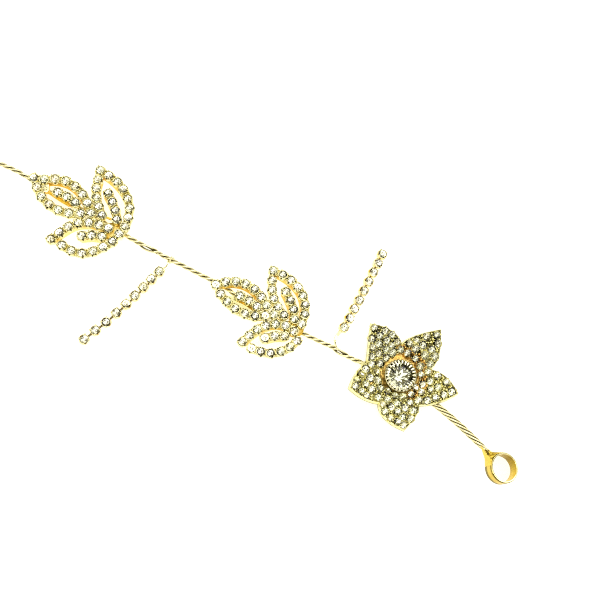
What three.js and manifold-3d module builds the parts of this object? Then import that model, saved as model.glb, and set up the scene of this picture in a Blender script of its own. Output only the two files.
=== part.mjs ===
// A hair-vine tiara, lying flat: a twisted gold wire stem with two leaf sprays of
// stone cups, two short side chains, a five-petal flower and a ring loop at each end.
// Millimetres. +X runs along the stem towards the end ring, +Z is up, and the origin
// is on the resting plane under the middle of the whole piece.
import * as THREE from 'three';
import Module from 'manifold-3d';
import { mergeVertices } from 'three/addons/utils/BufferGeometryUtils.js';

// ---------------------------------------------------------------- driving dimensions
const STEM_D = 1.3;            // two twisted strands, over both
const END_D = 1.9;             // the doubled wire past the flower
const STEM_STEP = 3.2;         // spacing of the wire's sections
const CUP_R = 1.4;             // one stone cup, over its flats' corners
const CUP_H = 2.1;             // height of a stone cup
const RAIL_W = 1.5;            // strip that joins the cups of a row
const RAIL_H = 0.9;
const LINK_W = 0.8;            // links and link wires of the side chains
const LINK_H = 0.7;
const LINK_Z = 0.3;
const RING_R = 4.0;            // ring loop: outer radius, wall and height
const RING_WALL = 0.5;
const RING_H = 3.3;
const RING_LEAN = [0.125, 0.15]; // how the end ring's axis leans, per unit of height
const PLATE_Z = 2.2;           // underside of the flower, just above the wire
const PLATE_H = 1.9;
const DISC_R = 5.5;            // bare round recess in the middle of the flower
const DISC_Z = 2.8;            // its floor
const CUP_BASE_Z = 3.1;        // big cup: underside, rim height and radii
const CUP_RIM_Z = 6.3;
const CUP_BASE_R = 2.9;
const CUP_RIM_R = 4.25;
const CUP_WALL = 0.35;
const STONE_R = 3.58;          // big stone: girdle radius, table radius and heights
const STONE_TABLE_R = 2.15;
const STONE_GIRDLE_Z = 5.7;
const STONE_TOP_Z = 7.05;
const STONE_CULET_Z = 3.8;
const ROUND = 24;              // sides of the large round pieces

// leaves: tip and base (x, y), height of the underside at the tip and at the base
const LEAVES = [
  // spray, leaf, tipX, tipY, baseX, baseY, tipZ, baseZ
  ['1', 'A', -57.1, -2, -30.5, -3, 1.65, 1.65],
  ['1', 'B', -44.7, 9.5, -30.5, -3, 0.3, 2.1],
  ['1', 'C', -44.5, -12.9, -30.5, -3, 0.3, 2.1],
  ['2', 'A', -2.1, -0.9, 23.2, 0.2, 1.65, 1.65],
  ['2', 'B', 8.6, 10.8, 23.2, 0.2, 0.3, 2.1],
  ['2', 'C', 11.6, -10.1, 23.2, 0.2, 0.3, 2.1],
];
// rows of cups: each a cubic curve (start, two handles, end) with evenly spaced cups
const ROWS = [
  // spray, leaf, row, x0, y0, x1, y1, x2, y2, x3, y3, cups
  ['1', 'A', 'up', -57.2, -2, -56.1, -3.8, -50.6, 7.9, -39.7, -2.1, 8],
  ['1', 'A', 'low', -55.2, -3.6, -51.2, -7.3, -45.1, -6.4, -41.9, -3.6, 6],
  ['1', 'A', 'spine', -50, -2, -48, -1.6, -46.2, -1.6, -44.6, -1.9, 3],
  ['1', 'B', 'up', -44.5, 9.5, -28.9, 10.7, -29.6, -4.8, -30.4, -3.1, 9],
  ['1', 'B', 'low', -43.5, 6.9, -42.6, 3.2, -39.7, 1.1, -37, -1.1, 5],
  ['1', 'B', 'spine', -39.1, 5, -36, 3.2, -34, 1.4, -33.1, -0.2, 4],
  ['1', 'C', 'up', -44.5, -13.1, -42.5, -7, -41.5, -4.1, -33.5, -3.1, 7],
  ['1', 'C', 'low', -41.2, -13.1, -35.5, -13.6, -33.7, -11.6, -30.7, -5.6, 6],
  ['1', 'C', 'spine', -38.3, -8.4, -37.1, -7.3, -35.6, -6.4, -33.8, -5.8, 3],
  ['2', 'A', 'up', -2.2, -1, 1.5, 3.7, 6.5, 4.9, 11.9, 1.2, 7],
  ['2', 'A', 'low', 0.1, -2.5, 4.3, -4.7, 9.6, -4.5, 13.1, -1.3, 6],
  ['2', 'A', 'spine', 4.7, -0.3, 6.4, 0, 8.1, 0, 9.9, -0.3, 3],
  ['2', 'B', 'up', 8.7, 10.8, 15.6, 12.1, 21.5, 9.2, 22.4, 1.8, 8],
  ['2', 'B', 'low', 9.8, 8.2, 11.4, 4.5, 13.4, 2.8, 17.2, 1.4, 5],
  ['2', 'B', 'spine', 14.5, 7.4, 17.6, 5.4, 19.5, 3.6, 20.2, 1.9, 4],
  ['2', 'C', 'up', 11.6, -10.1, 12.7, -4.5, 15.8, 0.1, 21.6, -0.7, 7],
  ['2', 'C', 'low', 14.5, -10.3, 19, -10.3, 22.9, -7.3, 23.7, -2.6, 6],
  ['2', 'C', 'spine', 16.1, -6.3, 17.2, -4.9, 18.6, -3.9, 20.2, -3.1, 3],
];
// side chains: the same kind of curve, cups, and how much wider the far gaps are
const CHAINS = [
  // chain, x0, y0, x1, y1, x2, y2, x3, y3, cups, spread
  ['1', -23.1, -30.9, -20.6, -24.4, -17.6, -12.9, -16.5, -5.6, 9, 0.12],
  ['2', 31.3, 30.9, 31.9, 22.9, 32.1, 15.5, 32.4, 7.6, 9, 0],
];
// link wires from a chain's last cup to beside the stem (x, y)
const LINK_WIRES = {
  1: [[-16.2, -2.3]],
  2: [[32.2, 6], [31.9, 4.5], [32.5, 2.7]],
};
// wire routes: x, y and height of the wire's middle
const STEM_ROUTE = [
  [-79.3, -3.5, 0.65], [-73.3, -3.4, 0.65], [-67.3, -2.9, 0.65], [-63.1, -2.3, 0.65], [-58.6, -2.2, 0.65],
  [-54.5, -2.5, 0.65], [-50.4, -2.4, 0.65], [-46, -2.1, 0.65], [-38, -1.9, 0.65],
  [-29.6, -1.8, 0.65], [-25, -1.7, 0.65], [-20.6, -1.3, 0.65], [-16.1, -1.2, 0.65], [-11.8, -0.7, 0.65],
  [-7.3, -0.4, 0.65], [-3.2, 0, 0.65], [1, 0.1, 0.65], [4, -0.3, 0.65],
  [7.5, -0.5, 0.65], [12, -0.4, 0.65], [18, 0.1, 0.65], [24.3, 0.5, 0.65], [28.9, 1, 0.65], [33.3, 1.5, 0.65],
  [37.9, 1.5, 0.65], [42.8, 2.2, 0.65], [51.3, 2.5, 0.65],
];
const END_ROUTE = [
  [51.8, 2.5, 0.95], [62.9, 2.6, 0.95], [66.9, 2.1, 0.95], [70.3, 1.5, 1], [73.8, 0.7, 1.2],
  [77.2, -0.2, 1.6], [79.1, -0.7, 1.9],
];
// petals: two shoulders, the tip and the notch after it, going round clockwise
const PETALS = [
  // petal, shoulder ax, ay, tip x, y, shoulder bx, by, notch x, y
  ['TL', 40.4, 6.3, 38.1, 11.8, 44.3, 13, 48, 10.7],
  ['TR', 49.3, 14.5, 55, 20.5, 57.9, 14, 57.6, 9.4],
  ['R', 62.3, 9.9, 67.2, 7.7, 63.8, 3, 59.5, -0.6],
  ['B', 60.2, -3.2, 59.3, -8.3, 53.5, -8.2, 50.1, -5.7],
  ['L', 46, -6.7, 41.5, -6.3, 41.2, -2, 42.2, 2],
];
const DISC_C = [51.2, 3.9];
const CUP_C = [51.2, 3];
const RING_RIGHT_C = [86.6, -3.3];
const RING_LEFT_C = [-86.8, -0.7];
// neck of a ring loop, seen from above, from the ring's centre (x away from the wire)
const NECK = [
  [-7.15, 1.85], [-5.75, 1.33], [-4.5, 0], [-3.5, -1.9], [-0.6, -2.2], [0.6, 1.8],
  [-1.3, 3.75], [-3.1, 2.95], [-4.5, 2.42], [-6.2, 2.95], [-6.9, 3.35],
];

// ---------------------------------------------------------------- helpers
const wasm = await Module();
wasm.setup();

function toSolid(geometry) {
  let g = geometry.clone();
  g.deleteAttribute('normal');
  g.deleteAttribute('uv');
  g = mergeVertices(g, 1e-4);
  return new wasm.Manifold(new wasm.Mesh({
    numProp: 3,
    vertProperties: new Float32Array(g.attributes.position.array),
    triVerts: new Uint32Array(g.index.array),
  }));
}
function toGeometry(solid) {
  const m = solid.getMesh();
  const g = new THREE.BufferGeometry();
  g.setAttribute('position', new THREE.BufferAttribute(new Float32Array(m.vertProperties), 3));
  g.setIndex(new THREE.BufferAttribute(new Uint32Array(m.triVerts), 1));
  return g;
}
const join = (solids) => solids.reduce((a, b) => a.add(b));

// prism over a closed outline, from z = low to z = low + height
function prism(points, low, height) {
  const shape = new THREE.Shape(points.map((p) => new THREE.Vector2(p[0], p[1])));
  const g = new THREE.ExtrudeGeometry(shape, { depth: height, bevelEnabled: false });
  g.translate(0, 0, low);
  return g;
}
// round prism with its flats facing along `turn`
function cup(x, y, low, turn) {
  const g = new THREE.CylinderGeometry(CUP_R, CUP_R, CUP_H, 8);
  g.rotateX(Math.PI / 2);
  g.rotateZ(turn + Math.PI / 8);
  g.translate(x, y, low + CUP_H / 2);
  return g;
}
// evenly spaced points along a cubic curve; `spread` moves the spacing towards the start
function along(row, n, spread = 0) {
  const [x0, y0, x1, y1, x2, y2, x3, y3] = row;
  const curve = new THREE.CubicBezierCurve(
    new THREE.Vector2(x0, y0), new THREE.Vector2(x1, y1),
    new THREE.Vector2(x2, y2), new THREE.Vector2(x3, y3));
  curve.arcLengthDivisions = 400;
  const out = [];
  for (let i = 0; i < n; i += 1) {
    const q = i / (n - 1);
    const u = Math.min(1, q + spread * q * (1 - q));
    const p = curve.getPointAt(u);
    const t = curve.getTangentAt(u);
    out.push({ x: p.x, y: p.y, turn: Math.atan2(t.y, t.x) });
  }
  return out;
}
// flat ribbon of the given width through a row of points
function ribbon(points, width) {
  const left = [];
  const right = [];
  points.forEach((p, i) => {
    const a = points[Math.max(0, i - 1)];
    const b = points[Math.min(points.length - 1, i + 1)];
    const len = Math.hypot(b[0] - a[0], b[1] - a[1]);
    const nx = -(b[1] - a[1]) / len * width / 2;
    const ny = (b[0] - a[0]) / len * width / 2;
    left.push([p[0] + nx, p[1] + ny]);
    right.unshift([p[0] - nx, p[1] - ny]);
  });
  return right.concat(left);
}
// tube of a round section along a route
function wire(route, diameter) {
  const curve = new THREE.CatmullRomCurve3(route.map((p) => new THREE.Vector3(...p)));
  const steps = Math.round(curve.getLength() / STEM_STEP);
  const section = new THREE.Shape();
  const corners = 8;
  for (let i = 0; i <= corners; i += 1) {
    const a = (i / corners) * Math.PI * 2;
    const x = Math.cos(a) * diameter / 2;
    const y = Math.sin(a) * diameter / 2;
    if (i === 0) section.moveTo(x, y); else if (i < corners) section.lineTo(x, y);
  }
  section.closePath();
  return new THREE.ExtrudeGeometry(section, { steps, extrudePath: curve, bevelEnabled: false });
}

// ---------------------------------------------------------------- sprays and chains
function spray(id) {
  const solids = [];
  for (const leaf of LEAVES.filter((r) => r[0] === id)) {
    const [, name, tx, ty, bx, by, tz, bz] = leaf;
    // the leaf slopes from its base down to its tip
    const ax = tx - bx;
    const ay = ty - by;
    const k = (tz - bz) / (ax * ax + ay * ay);
    const slope = new THREE.Matrix4().set(
      1, 0, 0, 0,
      0, 1, 0, 0,
      k * ax, k * ay, 1, bz - k * (ax * bx + ay * by),
      0, 0, 0, 1);
    for (const row of ROWS.filter((r) => r[0] === id && r[1] === name)) {
      const n = row[11];
      const pts = along(row.slice(3, 11), n);
      for (const p of pts) solids.push(toSolid(cup(p.x, p.y, 0, p.turn).applyMatrix4(slope)));
      const line = pts.map((p) => [p.x, p.y]);
      const last = line[line.length - 1];
      const root = [bx + ax * 0.12, by + ay * 0.12];
      if (row[2] === 'low') line.unshift([tx, ty]);
      if (Math.hypot(last[0] - root[0], last[1] - root[1]) > 2) line.push(root);
      solids.push(toSolid(prism(ribbon(line, RAIL_W), 0, RAIL_H).applyMatrix4(slope)));
    }
  }
  // solder pad that ties the three leaves together at their base
  const [, , , , bx, by, , bz] = LEAVES.find((r) => r[0] === id);
  const pad = new THREE.CylinderGeometry(2.6, 2.6, 0.9, 12);
  pad.rotateX(Math.PI / 2);
  pad.translate(bx - 1.6, by, bz + 0.45);
  solids.push(toSolid(pad));
  return toGeometry(join(solids));
}
function chain(id) {
  const row = CHAINS.find((r) => r[0] === id);
  const pts = along(row.slice(1, 9), row[9], row[10]);
  const parts = pts.map((p) => toSolid(cup(p.x, p.y, 0, p.turn)));
  const line = pts.map((p) => [p.x, p.y]).concat(LINK_WIRES[id]);
  parts.push(toSolid(prism(ribbon(line, LINK_W), LINK_Z, LINK_H)));
  return toGeometry(join(parts));
}

// ---------------------------------------------------------------- ring loops
function loop(flip) {
  const ri = RING_R - RING_WALL;
  const ring = new THREE.LatheGeometry([
    new THREE.Vector2(ri, -RING_H / 2), new THREE.Vector2(RING_R, -RING_H / 2),
    new THREE.Vector2(RING_R, RING_H / 2), new THREE.Vector2(ri, RING_H / 2),
    new THREE.Vector2(ri, -RING_H / 2)], ROUND);
  ring.rotateX(Math.PI / 2);
  const s = flip ? -1 : 1;
  const outline = NECK.map((p) => [p[0] * s, p[1] * s]);
  const neck = prism(outline, -RING_H / 2, 2.0);
  const bore = new THREE.CylinderGeometry(ri + 0.01, ri + 0.01, RING_H * 2, ROUND);
  bore.rotateX(Math.PI / 2);
  bore.rotateZ(Math.PI / 2);
  return toGeometry(toSolid(neck).subtract(toSolid(bore)).add(toSolid(ring)));
}

// ---------------------------------------------------------------- flower
function flowerPlate() {
  const outline = [];
  PETALS.forEach((row, i) => {
    const [, ax, ay, tx, ty, bx, by, nx, ny] = row;
    const prev = PETALS[(i + PETALS.length - 1) % PETALS.length];
    const start = [prev[7], prev[8]];
    const curve = (from, through, to, n) => {
      const c = new THREE.QuadraticBezierCurve(
        new THREE.Vector2(...from),
        new THREE.Vector2(2 * through[0] - (from[0] + to[0]) / 2, 2 * through[1] - (from[1] + to[1]) / 2),
        new THREE.Vector2(...to));
      for (let j = 0; j < n; j += 1) { const p = c.getPoint(j / n); outline.push([p.x, p.y]); }
    };
    curve(start, [ax, ay], [tx, ty], 5);
    curve([tx, ty], [bx, by], [nx, ny], 5);
  });
  outline.reverse();
  const plate = toSolid(prism(outline, PLATE_Z, PLATE_H));
  const recess = new THREE.CylinderGeometry(DISC_R, DISC_R, 4, ROUND);
  recess.rotateX(Math.PI / 2);
  recess.translate(DISC_C[0], DISC_C[1], DISC_Z + 2);
  return toGeometry(plate.subtract(toSolid(recess)));
}
function centerCup() {
  const w = CUP_WALL;
  const g = new THREE.LatheGeometry([
    new THREE.Vector2(0, CUP_BASE_Z), new THREE.Vector2(CUP_BASE_R, CUP_BASE_Z),
    new THREE.Vector2(CUP_BASE_R + 0.5, CUP_BASE_Z + 1.2), new THREE.Vector2(CUP_RIM_R, STONE_GIRDLE_Z),
    new THREE.Vector2(CUP_RIM_R, CUP_RIM_Z), new THREE.Vector2(CUP_RIM_R - w, CUP_RIM_Z),
    new THREE.Vector2(CUP_RIM_R - w, STONE_GIRDLE_Z - 0.3), new THREE.Vector2(CUP_BASE_R - w, CUP_BASE_Z + w),
    new THREE.Vector2(0, CUP_BASE_Z + w)], ROUND);
  g.rotateX(Math.PI / 2);
  return g;
}
function centerStone() {
  const g = new THREE.LatheGeometry([
    new THREE.Vector2(0, STONE_CULET_Z), new THREE.Vector2(0.5, STONE_CULET_Z),
    new THREE.Vector2(STONE_R, STONE_GIRDLE_Z - 0.1), new THREE.Vector2(STONE_R, STONE_GIRDLE_Z + 0.15),
    new THREE.Vector2(STONE_TABLE_R, STONE_TOP_Z), new THREE.Vector2(0, STONE_TOP_Z)], ROUND);
  g.rotateX(Math.PI / 2);
  return g;
}

// ---------------------------------------------------------------- assembly
const gold = (roughness = 0.22) => new THREE.MeshStandardMaterial({ color: 0xe3b54a, metalness: 1, roughness });
const crystal = () => new THREE.MeshStandardMaterial({ color: 0xe8ebe0, metalness: 0.1, roughness: 0.05 });

const tiara = new THREE.Group();
function piece(name, geometry, material, parent = tiara) {
  const mesh = new THREE.Mesh(geometry, material);
  mesh.name = name;
  parent.add(mesh);
  return mesh;
}
piece('stem_main', wire(STEM_ROUTE, STEM_D), gold(0.2));
piece('stem_end', wire(END_ROUTE, END_D), gold(0.2));
piece('leaf_spray_1', spray('1'), gold(0.25));
piece('leaf_spray_2', spray('2'), gold(0.25));
piece('side_chain_1', chain('1'), gold(0.25));
piece('side_chain_2', chain('2'), gold(0.25));
piece('flower_plate', flowerPlate(), gold(0.25));
const center = new THREE.Group();
center.position.set(CUP_C[0], CUP_C[1], 0);
piece('center_cup', centerCup(), gold(0.2), center);
piece('center_stone', centerStone(), crystal(), center);
tiara.add(center);

// the end ring leans a little, resting on the low side of its rim
const ringRight = new THREE.Group();
const axis = new THREE.Vector3(RING_LEAN[0], RING_LEAN[1], 1).normalize();
ringRight.quaternion.setFromUnitVectors(new THREE.Vector3(0, 0, 1), axis);
ringRight.position.set(RING_RIGHT_C[0], RING_RIGHT_C[1],
  (RING_H / 2) * axis.z + RING_R * Math.hypot(axis.x, axis.y));
piece('loop_right', loop(false), gold(0.35), ringRight);
tiara.add(ringRight);
const ringLeft = new THREE.Group();
ringLeft.position.set(RING_LEFT_C[0], RING_LEFT_C[1], RING_H / 2);
piece('loop_left', loop(true), gold(0.35), ringLeft);
tiara.add(ringLeft);

export default tiara;
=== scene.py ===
import math

import bpy
import numpy as np
from mathutils import Matrix
from mathutils.geometry import tessellate_polygon


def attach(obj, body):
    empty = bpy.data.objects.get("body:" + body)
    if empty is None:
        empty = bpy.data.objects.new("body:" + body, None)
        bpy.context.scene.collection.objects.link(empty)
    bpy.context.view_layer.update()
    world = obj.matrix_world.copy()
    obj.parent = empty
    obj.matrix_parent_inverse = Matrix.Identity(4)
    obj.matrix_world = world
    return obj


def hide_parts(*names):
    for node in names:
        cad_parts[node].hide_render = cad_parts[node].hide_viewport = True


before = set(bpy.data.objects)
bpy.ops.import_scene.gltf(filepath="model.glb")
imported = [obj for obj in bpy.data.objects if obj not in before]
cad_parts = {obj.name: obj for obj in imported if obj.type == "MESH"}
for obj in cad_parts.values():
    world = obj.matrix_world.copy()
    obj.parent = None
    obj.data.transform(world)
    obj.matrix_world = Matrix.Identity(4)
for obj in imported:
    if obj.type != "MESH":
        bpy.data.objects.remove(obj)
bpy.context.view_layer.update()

MM = 0.001
rng = np.random.default_rng(41)

# ------------------------------------------------------------------ camera
# millimetres, in the part's frame: place and the picture's right, down and forward
CAM_AT = (17.7860437, -64.31493708, 243.09167833)
CAM_RIGHT = (0.85434099, 0.49719517, 0.15132228)
CAM_DOWN = (0.51970038, -0.81932382, -0.24211565)
CAM_FORWARD = (0.00360322, 0.28549157, -0.95837445)

cam_data = bpy.data.cameras.new("camera")
cam_data.sensor_fit = "HORIZONTAL"
cam_data.sensor_width = 36.0
cam_data.lens = 57.0
cam_data.clip_start = 0.01
cam_data.clip_end = 20.0
camera = bpy.data.objects.new("camera", cam_data)
bpy.context.scene.collection.objects.link(camera)
camera.matrix_world = Matrix((
    (CAM_RIGHT[0], -CAM_DOWN[0], -CAM_FORWARD[0], CAM_AT[0] * MM),
    (CAM_RIGHT[1], -CAM_DOWN[1], -CAM_FORWARD[1], CAM_AT[1] * MM),
    (CAM_RIGHT[2], -CAM_DOWN[2], -CAM_FORWARD[2], CAM_AT[2] * MM),
    (0.0, 0.0, 0.0, 1.0)))
bpy.context.scene.camera = camera

# ------------------------------------------------------------------ sizes (mm)
STEM_R = 0.285          # one strand of the wire
STEM_OFF = 0.33         # its distance from the wire's middle
STEM_PITCH = 7.0        # three strands, one full turn
END_STRANDS = 6
END_R = 0.285
END_OFF = 0.575
END_PITCH = 13.1
CHAIN_R = 1.03          # small stone of the chains
ROW_R = 0.99            # small stone of the sprays
PAVE_R = 1.06           # small stone of the flower
RING_R = 4.0
RING_IN = 3.5
RING_H = 3.3
RING_LEAN = (0.125, 0.15)
RING_RIGHT_C = (86.6, -3.3)
RING_LEFT_C = (-86.8, -0.7)
DISC_C = (51.2, 3.9)
DISC_R = 5.5
CUP_C = (51.2, 3.0)

LEAVES = [
    # spray, leaf, tip x, y, base x, y, tip z, base z
    ("1", "A", -57.1, -2.0, -30.5, -3.0, 1.65, 1.65),
    ("1", "B", -44.7, 9.5, -30.5, -3.0, 0.3, 2.1),
    ("1", "C", -44.5, -12.9, -30.5, -3.0, 0.3, 2.1),
    ("2", "A", -2.1, -0.9, 23.2, 0.2, 1.65, 1.65),
    ("2", "B", 8.6, 10.8, 23.2, 0.2, 0.3, 2.1),
    ("2", "C", 11.6, -10.1, 23.2, 0.2, 0.3, 2.1),
]
ROWS = [
    # spray, leaf, row, cubic curve x0 y0 x1 y1 x2 y2 x3 y3, cups
    ("1", "A", "up", -57.2, -2, -56.1, -3.8, -50.6, 7.9, -39.7, -2.1, 8),
    ("1", "A", "low", -55.2, -3.6, -51.2, -7.3, -45.1, -6.4, -41.9, -3.6, 6),
    ("1", "A", "spine", -50, -2, -48, -1.6, -46.2, -1.6, -44.6, -1.9, 3),
    ("1", "B", "up", -44.5, 9.5, -28.9, 10.7, -29.6, -4.8, -30.4, -3.1, 9),
    ("1", "B", "low", -43.5, 6.9, -42.6, 3.2, -39.7, 1.1, -37, -1.1, 5),
    ("1", "B", "spine", -39.1, 5, -36, 3.2, -34, 1.4, -33.1, -0.2, 4),
    ("1", "C", "up", -44.5, -13.1, -42.5, -7, -41.5, -4.1, -33.5, -3.1, 7),
    ("1", "C", "low", -41.2, -13.1, -35.5, -13.6, -33.7, -11.6, -30.7, -5.6, 6),
    ("1", "C", "spine", -38.3, -8.4, -37.1, -7.3, -35.6, -6.4, -33.8, -5.8, 3),
    ("2", "A", "up", -2.2, -1, 1.5, 3.7, 6.5, 4.9, 11.9, 1.2, 7),
    ("2", "A", "low", 0.1, -2.5, 4.3, -4.7, 9.6, -4.5, 13.1, -1.3, 6),
    ("2", "A", "spine", 4.7, -0.3, 6.4, 0, 8.1, 0, 9.9, -0.3, 3),
    ("2", "B", "up", 8.7, 10.8, 15.6, 12.1, 21.5, 9.2, 22.4, 1.8, 8),
    ("2", "B", "low", 9.8, 8.2, 11.4, 4.5, 13.4, 2.8, 17.2, 1.4, 5),
    ("2", "B", "spine", 14.5, 7.4, 17.6, 5.4, 19.5, 3.6, 20.2, 1.9, 4),
    ("2", "C", "up", 11.6, -10.1, 12.7, -4.5, 15.8, 0.1, 21.6, -0.7, 7),
    ("2", "C", "low", 14.5, -10.3, 19, -10.3, 22.9, -7.3, 23.7, -2.6, 6),
    ("2", "C", "spine", 16.1, -6.3, 17.2, -4.9, 18.6, -3.9, 20.2, -3.1, 3),
]
CHAINS = [
    # chain, cubic curve, cups, how much wider the far gaps are
    ("1", -23.1, -30.9, -20.6, -24.4, -17.6, -12.9, -16.5, -5.6, 9, 0.12),
    ("2", 31.3, 30.9, 31.9, 22.9, 32.1, 15.5, 32.4, 7.6, 9, 0.0),
]
STEM_ROUTE = [
    # x, y, z of the wire's middle
    (-80.6, -3.5, 0.65), (-73.3, -3.4, 0.65), (-67.3, -2.9, 0.65), (-63.1, -2.3, 0.65), (-58.6, -2.2, 0.65),
    (-54.5, -2.5, 0.65), (-50.4, -2.4, 0.65), (-46, -2.1, 0.65), (-38, -1.9, 0.65),
    (-29.6, -1.8, 0.65), (-25, -1.7, 0.65), (-20.6, -1.3, 0.65), (-16.1, -1.2, 0.65), (-11.8, -0.7, 0.65),
    (-7.3, -0.4, 0.65), (-3.2, 0, 0.65), (1, 0.1, 0.65), (4, -0.3, 0.65),
    (7.5, -0.5, 0.65), (12, -0.4, 0.65), (18, 0.1, 0.65), (24.3, 0.5, 0.65), (28.9, 1, 0.65),
    (33.3, 1.5, 0.65), (37.9, 1.5, 0.65), (42.8, 2.2, 0.65), (51.3, 2.5, 0.65),
]
END_ROUTE = [
    (51.8, 2.5, 0.95), (62.9, 2.6, 0.95), (66.9, 2.1, 0.95), (70.3, 1.5, 1.0), (73.8, 0.7, 1.2),
    (77.2, -0.2, 1.6), (79.1, -0.75, 1.9), (80.4, -1.05, 2.05), (81.7, -1.2, 2.2),
]
PETALS = [
    # petal, shoulder a x, y, tip x, y, shoulder b x, y, notch x, y, lean of its stones (degrees)
    ("TL", 40.4, 6.3, 38.1, 11.8, 44.3, 13.0, 48.0, 10.7, 7),
    ("TR", 49.3, 14.5, 55.0, 20.5, 57.9, 14.0, 57.6, 9.4, 10),
    ("R", 62.3, 9.9, 67.2, 7.7, 63.8, 3.0, 59.5, -0.6, 6),
    ("B", 60.2, -3.2, 59.3, -8.3, 53.5, -8.2, 50.1, -5.7, 4),
    ("L", 46.0, -6.7, 41.5, -6.3, 41.2, -2.0, 42.2, 2.0, 6),
]


# ------------------------------------------------------------------ mesh tools
class Form:
    """Closed shells in one mesh. Millimetres. tone is painted shade: 0 on open metal and 1 in a crevice
    or on a shaded side, lot is one number for a whole shell, so that each stone or cup differs a little."""

    def __init__(self):
        self.v, self.f, self.m, self.tone, self.lot, self.n = [], [], [], [], [], 0

    def add(self, shell, place=None, mat=0, lot=0.0):
        verts, faces, tone = shell
        verts = np.asarray(verts, float)
        if place is not None:
            verts = verts @ place[0].T + place[1]
        base = self.n
        self.v.append(verts)
        self.f.extend([tuple(i + base for i in f) for f in faces])
        self.m.extend(mat if isinstance(mat, list) else [mat] * len(faces))
        self.tone.append(np.broadcast_to(np.asarray(tone, float), (len(verts),)))
        self.lot.append(np.full(len(verts), lot))
        self.n += len(verts)

    def stamp(self, other, place, lot=0.0):
        verts = np.concatenate(other.v) @ place[0].T + place[1]
        base = self.n
        self.v.append(verts)
        self.f.extend([tuple(i + base for i in f) for f in other.f])
        self.m.extend(other.m)
        self.tone.append(np.concatenate(other.tone))
        self.lot.append(np.full(len(verts), lot))
        self.n += len(verts)

    def object(self, name, materials, sharp=38.0, flat=()):
        mesh = bpy.data.meshes.new(name)
        verts = np.concatenate(self.v) * MM
        mesh.from_pydata([tuple(p) for p in verts], [], self.f)
        for m in materials:
            mesh.materials.append(m)
        mesh.polygons.foreach_set("material_index", self.m)
        mesh.polygons.foreach_set("use_smooth", [i not in flat for i in self.m])
        for key, values in (("tone", self.tone), ("lot", self.lot)):
            layer = mesh.attributes.new(key, "FLOAT", "POINT")
            layer.data.foreach_set("value", np.concatenate(values).astype(np.float32))
        mesh.update()
        mesh.validate()
        mesh.set_sharp_from_angle(angle=math.radians(sharp))
        obj = bpy.data.objects.new(name, mesh)
        bpy.context.scene.collection.objects.link(obj)
        return obj


def smooth01(x, a, b):
    u = np.clip((x - a) / (b - a), 0, 1)
    return u * u * (3 - 2 * u)


def unit(v):
    v = np.asarray(v, float)
    return v / np.linalg.norm(v, axis=-1, keepdims=True)


def rings_to_shell(rings, tone=0.0, loop=False, start=True, end=True):
    """Skins equal rings of points, which run anticlockwise about the direction of travel."""
    rings = np.asarray(rings, float)
    count, sides = rings.shape[:2]
    verts = rings.reshape(-1, 3)
    faces = []
    for r in range(count if loop else count - 1):
        a, b = r * sides, ((r + 1) % count) * sides
        for i in range(sides):
            j = (i + 1) % sides
            faces.append((a + i, a + j, b + j, b + i))
    if not loop:
        if start:
            faces.append(tuple(range(sides))[::-1])
        if end:
            faces.append(tuple((count - 1) * sides + i for i in range(sides)))
    if np.ndim(tone):
        tone = np.repeat(np.asarray(tone, float), sides) if len(tone) == count else np.asarray(tone)
    return verts, faces, tone


def lathe(profile, sides, tone=None, phase=0.0):
    """Turns (radius, height) points about Z. Ends on the axis become one point."""
    verts, faces, tones, index = [], [], [], []
    closed = profile[0] == profile[-1]
    pts = profile[:-1] if closed else profile
    tone = tone if tone is not None else [0.0] * len(pts)
    for (r, z), t in zip(pts, tone):
        if r < 1e-9:
            index.append([len(verts)])
            verts.append((0.0, 0.0, z))
            tones.append(t)
        else:
            row = []
            for i in range(sides):
                a = phase + 2 * math.pi * i / sides
                row.append(len(verts))
                verts.append((r * math.cos(a), r * math.sin(a), z))
                tones.append(t)
            index.append(row)
    pairs = list(zip(index, index[1:])) + ([(index[-1], index[0])] if closed else [])
    for lo, hi in pairs:
        for i in range(sides):
            j = (i + 1) % sides
            if len(lo) == 1:
                faces.append((lo[0], hi[j], hi[i]))
            elif len(hi) == 1:
                faces.append((lo[i], lo[j], hi[0]))
            else:
                faces.append((lo[i], lo[j], hi[j], hi[i]))
    return np.array(verts), faces, np.array(tones)


def tangents(path):
    t = np.zeros_like(path)
    t[1:-1] = path[2:] - path[:-2]
    t[0] = path[1] - path[0]
    t[-1] = path[-1] - path[-2]
    return unit(t)


def side_frames(path):
    """Tangent, level left normal and the third axis for each point of a path."""
    t = tangents(path)
    n = np.cross(np.array([0.0, 0.0, 1.0]), t)
    n = unit(n)
    return t, n, np.cross(t, n)


def carried_frames(path):
    """Frames carried along a path that may turn any way."""
    t = tangents(path)
    n = np.zeros_like(path)
    ref = np.array([0.0, 0.0, 1.0]) if abs(t[0][2]) < 0.9 else np.array([1.0, 0.0, 0.0])
    n[0] = unit(np.cross(ref, t[0]))
    for i in range(1, len(path)):
        v = n[i - 1] - t[i] * np.dot(n[i - 1], t[i])
        n[i] = unit(v)
    return t, n, np.cross(t, n)


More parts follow.
